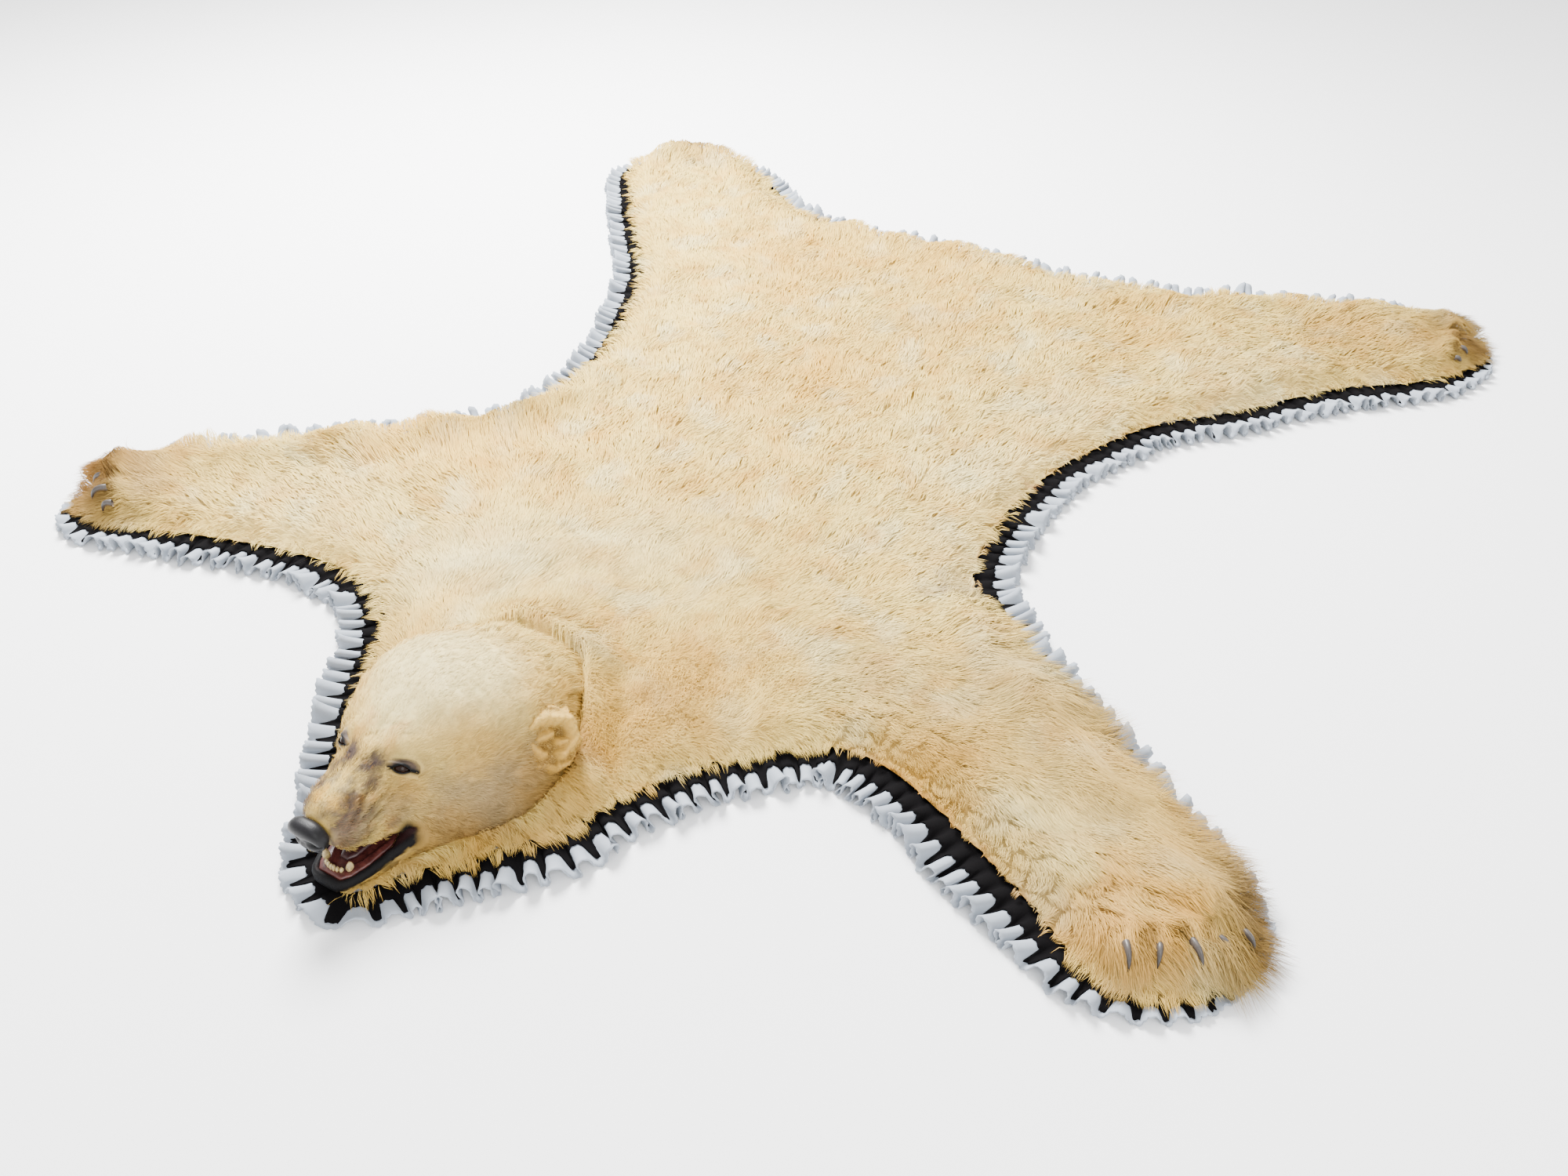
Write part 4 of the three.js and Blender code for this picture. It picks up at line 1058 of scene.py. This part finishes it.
def make_head():
    points, normals, faces = copy_of("head", "head_base", VOXEL, 6)
    x, y, z = points.T
    aside = np.abs(x - HEAD_MIDDLE)
    top, wide, half, foot = (row_value(HEAD_ROWS, y, k) for k in (1, 2, 3, 4))
    over = np.hypot(aside / half, np.maximum(z - wide, 0) / (top - wide))
    side = half + (foot - half) * np.clip((wide - z) / wide, 0, 1)
    over = np.where(z > wide, over, aside / side)
    at_ear = (y > -850) & (y < -730) & (over > 1.03)
    drawn_in = np.where(at_ear, 1 / over, 1.0)
    points[:, 0] = HEAD_MIDDLE + (x - HEAD_MIDDLE) * drawn_in
    points[:, 2] = np.where(z > wide, wide + (z - wide) * drawn_in, z)
    x, y, z = points.T
    aside = np.abs(x - HEAD_MIDDLE)
    lip, red = mouth_parts(points)
    push = np.zeros(len(points))
    for px, py, pz, out, reach in HEAD_FEATURES:
        push += out * round_hump(aside, y, z, px, py, pz, reach)
    # Snarl wrinkles run back and up from the nose
    wrinkled = oval(y, z, -1035, 132, 40, 26) * smooth(8, 18, aside)
    line = z - 0.50 * (y + 1080) + 3 * waves(x, y, 60, 2.0, z)
    furrow = np.sin(2 * math.pi * line / 15)
    push += 3.6 * wrinkled * furrow
    # The skin is crumpled round the ears
    ear = oval(y, z, -790, 120, 40, 50) * smooth(120, 140, aside)
    push += 2.0 * ear * waves(x, y, 26, 4.4, z)
    push += 1.2 * waves(x, y, 90, 2.7, z) * (1 - np.maximum(lip, red))
    push += 2.2 * lip
    # The upper lips hang down at the sides of the muzzle
    hang = 9 * smooth(-1092, -1070, y) * (1 - smooth(-1006, -990, y)) * (z > 52)
    hang = hang * (1 - smooth(0, 30, z - row_value(HEAD_ROWS, y, 5)))
    hang = hang * smooth(-14, -4, aside - row_value(HEAD_ROWS, y, 4))
    # A shallow furrow runs up the middle of the brow
    push -= 3.0 * oval(aside, y, 0, -930, 5, 40) * smooth(150, 170, z)
    points = points + normals * push[:, None]
    points[:, 2] = np.maximum(points[:, 2] - hang, HEAD_FOOT)

    tint = head_tint(points)
    tint = mix(tint, VIOLET, 0.8 * eye_dark(points))
    # Painted shade in the creases of the snarl wrinkles
    tint = mix(tint, VIOLET, 0.8 * wrinkled * np.clip(-furrow, 0, 1))
    tint = mix(tint, BLACK, np.clip(lip + red, 0, 1))
    tint = mix(tint, MAROON, red)
    piece = mesh_piece("head_skin", points, faces, hide_material, tint)
    finish_piece(piece, "fur", "head")
    return points, faces


head_points, head_faces = make_head()

# The ears lie crumpled against the head: folds from one place to another on the ear's face,
# across and up from its middle, with their height and half width
EAR_FOLDS = [
    (-32, 34, 6, 31, 17, 8), (6, 31, 29, 15, 18, 9), (29, 15, 27, -12, 17, 9), (27, -12, 2, -22, 18, 8),
    (-16, 11, 1, 10, 12, 6), (5, -5, 13, -9, 14, 6), (-8, -33, 8, -37, 10, 6), (-31, 12, -22, -8, 8, 7),
]
EARS = {
    "left": ((155, -790, 98), (0.74, -0.22, 0.60), (0.30, 0.93, 0.02), 1.13),
    "right": ((-168, -790, 92), (-0.80, -0.22, 0.52), (-0.30, 0.93, 0.02), 0.9),
}
EAR_STEP = 1.6


def make_ear(word):
    """A crumpled cup of skin on the side of the head."""
    middle, facing, across, size = (np.array(part, float) for part in EARS[word])
    facing = unit(facing)
    across = unit(across - facing * across.dot(facing))
    upward = np.cross(facing, across)
    upward = upward * np.sign(upward[2])
    us = np.arange(-46, 48, EAR_STEP)
    u, v = grid(us, us)
    height = np.full(len(u), 1.0)
    for au, av, bu, bv, high, wide in EAR_FOLDS:
        du, dv = bu - au, bv - av
        part = np.clip(((u - au) * du + (v - av) * dv) / (du * du + dv * dv), 0, 1)
        far = np.hypot(u - au - du * part, v - av - dv * part)
        height = np.maximum(height, 1 + (high - 1) * np.exp(-((far / wide) ** 2)))
    height += 2.4 * waves(u, v, 34, 3.0) + 1.4 * waves(u, v, 17, 5.0)
    rim = np.hypot(u - 1, v - 3) + 5 * waves(u, v, 40, 1.2)
    height -= 24 * smooth(36, 50, rim)
    points = middle + size * (np.outer(u, across) + np.outer(v, upward) + np.outer(height, facing))
    quads = grid_quads(len(us), len(us))
    quads = quads[(rim[quads] < 50).all(1)]
    used, new = np.unique(quads, return_inverse=True)
    points, height = points[used], height[used]
    # Painted shade in the low folds of the ear
    painted_hollow_shade = 0.9 * (1 - smooth(1, 10, height)) * (rim[used] < 38)
    tint = mix((head_tint(points) + SAND) / 2, TAN * 0.4, painted_hollow_shade)
    faces = [new.reshape(-1, 4)]
    finish_piece(mesh_piece(f"ear_{word}", points, faces, hide_material, tint), "fur")
    return points, faces


ears = {word: make_ear(word) for word in EARS}

HEAD_STRANDS = 112000
HEAD_STRAND_HALF = 0.38
HEAD_LENGTHS = [
    # x from the middle, y, z, length, reach
    (0, -1060, 150, 4.5, 45), (45, -1040, 115, 5.0, 40), (40, -975, 165, 6, 30),
    (0, -900, 205, 7, 60), (0, -800, 215, 10, 80), (110, -930, 90, 10, 50),
    (150, -860, 70, 17, 60), (100, -960, 30, 16, 50), (50, -1060, 28, 9, 40),
    (150, -780, 40, 36, 60), (80, -630, 50, 38, 80), (160, -790, 130, 9, 40),
    (140, -700, 60, 34, 60), (0, -680, 150, 38, 50), (70, -660, 110, 44, 50), (110, -700, 100, 34, 40),
]


def grow_head():
    surface, triangles = np.empty((0, 3)), []
    for points, faces in [(head_points, head_faces), *ears.values()]:
        for face in faces:
            triangles.append(face[:, :3] + len(surface))
            if face.shape[1] == 4:
                triangles.append(face[:, [0, 2, 3]] + len(surface))
        surface = np.vstack([surface, points])
    triangles = np.vstack(triangles)
    a, b, c = (surface[triangles[:, k]] for k in range(3))
    cross = np.cross(b - a, c - a)
    # Ears are open sheets: their fur grows on the outer side
    centre = (a + b + c) / 3
    away = centre - np.array([HEAD_MIDDLE, -830, 80])
    facing_in = (triangles[:, 0] >= len(head_points)) & ((cross * away).sum(1) < 0)
    cross[facing_in] *= -1
    area = np.linalg.norm(cross, axis=1)
    weight = area * (centre[:, 2] > 13) * np.where(centre[:, 1] < -940, 2.1, 1.0)
    chosen = rng.choice(len(triangles), HEAD_STRANDS, p=weight / weight.sum())
    u, v = rng.random((2, HEAD_STRANDS, 1))
    flip = u + v > 1
    u, v = np.where(flip, 1 - u, u), np.where(flip, 1 - v, v)
    root = a[chosen] + (b - a)[chosen] * u + (c - a)[chosen] * v
    up = unit(cross[chosen])
    lip, red = mouth_parts(root)
    dark = eye_dark(root)
    keep = (lip < 0.25) & (red < 0.25) & (dark < 0.36) & (root[:, 1] > -1088)
    # Fewer hairs grow on the bare dark skin of the muzzle
    keep &= rng.random(len(root)) < 0.12 + 4.5 * head_tint(root)[:, 0] ** 1.2
    root, up, dark = root[keep], up[keep], dark[keep]
    n = len(root)
    x, y, z = root.T
    sign = np.sign(x - HEAD_MIDDLE)
    aside = np.abs(x - HEAD_MIDDLE)
    low = 1 - smooth(60, 150, z)
    way = np.stack([sign * (0.15 + 0.30 * low), np.full(n, 1.0) - 0.45 * low, -0.15 - 0.35 * low], 1)
    ear = oval(y, z, -790, 120, 40, 50) * smooth(125, 145, aside)
    way[:, 1] *= 1 - 0.7 * ear
    drift = np.stack([waves(x, y, 60, seed, z) for seed in (1.3, 2.3, 3.3)], 1)
    way = way + rng.normal(0, 0.16, (n, 3)) + 0.22 * drift + ear[:, None] * rng.normal(0, 0.2, (n, 3))
    way = unit(way - up * np.sum(way * up, 1, keepdims=True))
    long = np.full(n, 12.0)
    for px, py, pz, length, reach in HEAD_LENGTHS:
        long += (length - long) * round_hump(aside, y, z, px, py, pz, reach)
    on_ear = (triangles[chosen, 0] >= len(head_points))[keep]
    long = np.where(on_ear, 4.0, long) * (1 - 0.6 * dark)
    long = (long * rng.uniform(0.75, 1.2, n))[:, None]
    cell = np.floor(x / 9) * 31 + np.floor(y / 9) * 57 + np.floor(z / 9) * 91
    bunch = unit(way + 0.55 * np.stack([chance(cell, k) - 0.5 for k in (1, 2, 3)], 1))
    rise = (0.24 + 0.12 * chance(cell, 4))[:, None]
    crown = (smooth(150, 190, z) * smooth(-990, -960, y))[:, None]
    rise = rise * (1 - 0.4 * crown)
    middle = root + bunch * long * 0.5 + up * long * rise * 0.62
    tip = root + bunch * long + up * long * rise * 0.55
    tip[:, 2] = np.maximum(tip[:, 2], 12)
    middle[:, 2] = np.maximum(middle[:, 2], 12)
    side = unit(np.cross(bunch, up))
    roll = rng.normal(0, 0.5, n)[:, None] * (1 - 0.6 * crown)
    flat_side = side * np.cos(roll) + up * np.sin(roll)
    normal = unit(up + side * rng.normal(0, 0.24, n)[:, None] * (1 - 0.7 * crown) + bunch * 0.12)
    tint = head_tint(root)
    # Pale hairs grow among the dark ones of the muzzle
    pale = (rng.random(n) < 0.3) & (y < -1000)
    tint = np.where(pale[:, None], np.maximum(tint, TAN * 0.5), tint)
    tint = mix(tint, VIOLET, 0.7 * dark)
    tone = rng.normal(1.0, 0.045, n) + 0.07 * (chance(cell, 5) - 0.5)
    half = HEAD_STRAND_HALF * rng.uniform(0.7, 1.2, n)[:, None]
    # Roots at 0.92 and tips at 1.03: painted shade deep in the coat
    points, faces, colours, normals = strands(
        root - up * 0.6, middle, tip, flat_side, half, normal, tint, 0.92 * tone, 1.03 * tone
    )
    piece = mesh_piece("fur_head", points, faces, fur_material, colours, normals, plan_map=True)
    finish_piece(piece, "fur")


grow_head()

# Nose, eyes, mouth and teeth


def round_grid(across, along):
    """Unit directions over a sphere with its poles upright, and the faces that join them."""
    turn = np.linspace(0, 2 * math.pi, across, endpoint=False)
    fall = np.linspace(0, math.pi, along + 1)[1:-1]
    ring = np.stack([
        np.outer(np.sin(fall), np.cos(turn)),
        np.outer(np.sin(fall), np.sin(turn)),
        np.outer(np.cos(fall), np.ones(across)),
    ], -1).reshape(-1, 3)
    points = np.vstack([ring, [(0, 0, 1), (0, 0, -1)]])
    number = np.arange(len(ring)).reshape(-1, across)
    after = np.roll(number, -1, 1)
    top, bottom = np.full(across, len(ring)), np.full(across, len(ring) + 1)
    caps = faces_of((top, number[0], after[0]), (bottom, after[-1], number[-1]))
    return points, [ring_quads(number), caps]


def fill_out(points, power):
    return np.sign(points) * np.abs(points) ** power


NOSE = {"wide": 62, "deep": 31, "high": 53, "y": -1107.35, "z": 118}


def make_nose():
    points, faces = round_grid(64, 44)
    shape = fill_out(points, 0.76) * np.array([NOSE["wide"], NOSE["deep"], NOSE["high"]]) / 2
    x, y, z = shape.T
    front = smooth(-2, -9, y)
    top = smooth(-10, 20, z)
    shape[:, 1] += 4 * (1 - top) * front
    # Nostrils: two hollows that curl out to the sides, and the groove between them
    for side in (-1, 1):
        curl = oval(x, z, side * 23, -7, 8, 3.2)
        shape[:, 1] += (8 * oval(x, z, side * 13, -1, 6.5, 6.5) + 5 * curl) * front
        shape[:, 2] -= 2.0 * curl * front * np.sign(z + 7)
        shape[:, 0] += side * 2.2 * oval(x, z, side * 25, 2, 8, 7)
    groove = np.exp(-((x / 1.6) ** 2)) * (1 - smooth(2, 12, z))
    shape[:, 1] += 2.6 * groove * front
    shape[:, 0] *= 1 - 0.16 * (1 - smooth(-20, -2, z))
    place = shape + np.array([HEAD_MIDDLE, NOSE["y"], NOSE["z"]])
    material, tree, shader = new_material("nose_leather", srgb(16, 15, 17), 0.46, 0.2)
    pebble = tree.nodes.new("ShaderNodeTexVoronoi")
    pebble.inputs["Scale"].default_value = 620
    place_node = tree.nodes.new("ShaderNodeTexCoord")
    tree.links.new(place_node.outputs["Object"], pebble.inputs["Vector"])
    worn = noise(tree, 60, 5.0)
    colour = ramp(tree, worn, [(0.35, srgb(8, 8, 9)), (0.75, srgb(24, 23, 26))])
    tree.links.new(colour, shader.inputs["Base Color"])
    bump(tree, shader, pebble.outputs["Distance"], 0.2, 0.0005)
    piece = mesh_piece("nose_pad", place, faces, material)
    finish_piece(piece, "nose_leather", "nose")


make_nose()


LID_STEP = 1.0
LID_FOLDS = [(2.4, -1, 7.5, 19, 2.4), (-1.8, -1, 11.5, 20, 2.0), (1.1, 2, -5.5, 17, 2.0)]


def make_eyes():
    stops = [(0.3, srgb(10, 7, 6)), (0.7, srgb(46, 27, 17))]
    glass = grained_material("eye_glass", 0.12, 0.15, 200, 3.0, stops)
    lid = tinted_material("eyelid", 0.75, 1.0, 500, 0.5, (0.6, 0.0008))
    ball, ball_faces = round_grid(40, 24)
    for side, word in ((1, "left"), (-1, "right")):
        centre, gaze, slit, upward = eye_axes(side)
        piece = mesh_piece(f"eyeball_{word}", ball * EYE["radius"] + centre, ball_faces, glass)
        finish_piece(piece, "eye_glass", f"eye_{word}")
        # Lids: a patch of bare skin over the eye, open along the slit
        us, vs = np.arange(-27, 30.1, LID_STEP), np.arange(-14, 18.1, LID_STEP)
        u, v = grid(us, vs)
        line = -0.6 - 0.004 * (u - 2) ** 2
        off = v - line
        height = 7.6 - u**2 / 190 - v**2 / 150 + 5.8 * oval(u, v, 0, 1, 13.5, 9.5)
        # The upper lid's fold, the crease above it and the lower lid's fold
        for rise, at_u, at_off, long, thick in LID_FOLDS:
            height += rise * oval(u, off, at_u, at_off, long, thick)
        along = np.clip(1 - np.abs(u - 2) / 26, 0, 1)
        height -= 3.0 * np.exp(-((off / 1.5) ** 2)) * smooth(0, 0.3, along) * (np.abs(u) > 9)
        rim = np.maximum(np.abs(u - 1.5) / 28.5, np.abs(v - 2) / 16)
        height -= 5.0 * smooth(0.72, 1.0, rim)
        opening = 5.6 * np.clip(1 - (u / 13) ** 2, 0, None)
        is_open = np.abs(off - 0.4) < opening
        points = centre + np.outer(u, slit) + np.outer(v, upward) + np.outer(height, gaze)
        quads = grid_quads(len(vs), len(us))
        quads = quads[~is_open[quads].all(1)]
        tint = head_tint(points)
        lid_share = oval(u, off, 3, 6, 28, 11)
        beyond = np.clip(np.abs(off - 0.9) - opening, 0, None)
        edge = np.exp(-((beyond / 3.6) ** 2)) * smooth(0, 0.25, along)
        tint = mix(tint, VIOLET, np.clip(1.25 * lid_share, 0, 0.95))
        tint = mix(tint, BLACK, np.clip(1.2 * edge, 0, 1))
        piece = mesh_piece(f"eyelids_{word}", points, [quads], lid, tint)
        finish_piece(piece, "fur")


make_eyes()


def make_mouth():
    stops = [(0.3, srgb(52, 21, 20)), (0.7, srgb(94, 48, 42))]
    gum = grained_material("gum", 0.32, 0.5, 110, 5.0, stops, (0.3, 0.001))
    stops = [(0.3, srgb(34, 12, 12)), (0.7, srgb(58, 22, 21))]
    flesh = grained_material("tongue", 0.4, 0.5, 500, 4.0, stops, (0.5, 0.0008))
    for node, name, voxel, material, slot_name in (
        ("mouth_lining", "gum_of_lower_jaw", 2.4, gum, "gum"),
        ("tongue", "tongue_in_mouth", 1.6, flesh, "tongue"),
    ):
        points, _, faces = copy_of(node, f"{name}_base", voxel, 5)
        finish_piece(mesh_piece(name, points, faces, material), slot_name, node)


make_mouth()

# Lower teeth: x, y, wide, deep, high, lean
TEETH = {
    "incisor_1": (-13.6, -1091, 5.6, 6, 9.0, -0.10), "incisor_2": (-8.2, -1093, 5.2, 6, 9.5, -0.05),
    "incisor_3": (-2.8, -1094, 5.0, 6, 9.0, 0.04), "incisor_4": (2.6, -1094, 5.0, 6, 9.5, -0.03),
    "incisor_5": (8.0, -1093, 5.2, 6, 9.0, 0.06), "incisor_6": (13.4, -1091, 5.6, 6, 8.5, 0.12),
    "canine_right": (-21.5, -1083, 9.5, 11, 17, -0.12), "canine_left": (21.5, -1083, 9.5, 11, 17, 0.10),
}
GUM_TOP = 36


def make_teeth():
    stops = [(0.28, srgb(104, 80, 42)), (0.5, srgb(166, 146, 98)), (0.75, srgb(196, 182, 140))]
    enamel = grained_material("tooth", 0.3, 0.5, 170, 5.0, stops)
    for name, (x, y, wide, deep, high, lean) in TEETH.items():
        points, faces = round_grid(20, 14)
        shape = fill_out(points, 0.72)
        taper = 1 - (0.42 if "canine" in name else 0.12) * smooth(-0.3, 1.0, shape[:, 2])
        shape[:, :2] *= taper[:, None]
        shape = shape * np.array([wide, deep, high]) / 2
        shape[:, 0] += lean * (shape[:, 2] + high / 2)
        shape[:, 1] += 0.12 * (shape[:, 2] + high / 2) - 0.3 * np.sin(shape[:, 0] * 1.3)
        place = shape + np.array([x, y, GUM_TOP + high / 2 - 1.2])
        finish_piece(mesh_piece(f"{name}_crown", place, faces, enamel), "tooth", name)


make_teeth()

# Claws

CLAW_RINGS = 14
CLAW_SIDES = 12
# The fur covers the claws' roots, so they are shorter than the solids, and a little fuller
CLAW_SHARE = 0.7
CLAW_FULL = 1.1
HORN_ROOT = srgb(84, 76, 70)
HORN_TIP = srgb(30, 27, 27)
HORN_UNDER = srgb(170, 138, 100)


def make_claws():
    horn = tinted_material("claw_horn", 0.6, 1.0, 420, 0.38, (0.3, 0.0005), 0.5)
    rings = np.arange((CLAW_RINGS + 1) * CLAW_SIDES).reshape(-1, CLAW_SIDES)
    places = iter(toe_places(0))
    for paw, (*_, pointing, fan, length, radius) in PAWS.items():
        points, faces, tints = [], [], []
        for toe, (part, aside_turn, sunk) in enumerate(TOE_CLAWS[paw]):
            x, y = next(places)
            z = float(fur_top(np.array([x]), np.array([y]))[0]) - sunk
            share = toe / (TOES - 1) - 0.5
            heading = math.radians(pointing + share * fan + aside_turn)
            long = CLAW_SHARE * part * length * (1 - 0.3 * abs(share))
            faces.append(ring_quads(rings + len(points)))
            for t in np.arange(CLAW_RINGS + 1) / CLAW_RINGS:
                forward = long * math.sin(t * 1.3) / math.sin(1.3)
                height = z + 5 * math.sin(t * math.pi) - 20 * t * t
                wide = max(0.5, CLAW_FULL * radius * (1 - t) ** 0.62)
                for turn in 2 * math.pi * np.arange(CLAW_SIDES) / CLAW_SIDES:
                    aside = wide * 0.66 * math.cos(turn)
                    up = wide * math.sin(turn) * (1.0 if math.sin(turn) > 0 else 0.8)
                    ahead = forward - up * math.sin(-t)
                    points.append((
                        x + ahead * math.cos(heading) - aside * math.sin(heading),
                        y + ahead * math.sin(heading) + aside * math.cos(heading),
                        height + up * math.cos(-t),
                    ))
                    dark = HORN_ROOT + (HORN_TIP - HORN_ROOT) * t
                    under = HORN_UNDER * (1 - 0.6 * t)
                    tints.append(dark + (under - dark) * 0.8 * max(0.0, -math.sin(turn)))
        names = [f"claw_{paw}_{toe + 1}" for toe in range(TOES)]
        piece = mesh_piece(f"claws_{paw}", points, faces, horn, np.array(tints))
        finish_piece(piece, "claw_horn", *names)


make_claws()

# Floor and light

FLOOR = 30.0


def make_room():
    floor_mesh = bpy.data.meshes.new("floor")
    corners = [(-FLOOR, -FLOOR, 0), (FLOOR, -FLOOR, 0), (FLOOR, FLOOR, 0), (-FLOOR, FLOOR, 0)]
    floor_mesh.from_pydata([Vector(c) for c in corners], [], [(0, 1, 2, 3)])
    floor = bpy.data.objects.new("floor", floor_mesh)
    floor.location.z = -0.001
    bpy.context.scene.collection.objects.link(floor)
    floor_mesh.materials.append(new_material("floor", (0.92, 0.92, 0.92), 0.9, 0.0)[0])
    for name, place, aim, size, power in (
        ("key", (-1.9, 1.2, 3.2), (0, -0.2, 0), 2.0, 940),
        ("fill", (2.8, -2.6, 2.6), (0.2, -0.6, 0), 3.0, 120),
    ):
        data = bpy.data.lights.new(name, "AREA")
        data.shape = "DISK"
        data.size = size
        data.energy = power
        light = bpy.data.objects.new(name, data)
        light.location = place
        light.rotation_euler = (Vector(aim) - Vector(place)).to_track_quat("-Z", "Y").to_euler()
        bpy.context.scene.collection.objects.link(light)
    world = bpy.data.worlds.new("world")
    world.use_nodes = True
    world.node_tree.nodes["Background"].inputs["Color"].default_value = (1, 1, 1, 1)
    world.node_tree.nodes["Background"].inputs["Strength"].default_value = 1.65
    bpy.context.scene.world = world


make_room()
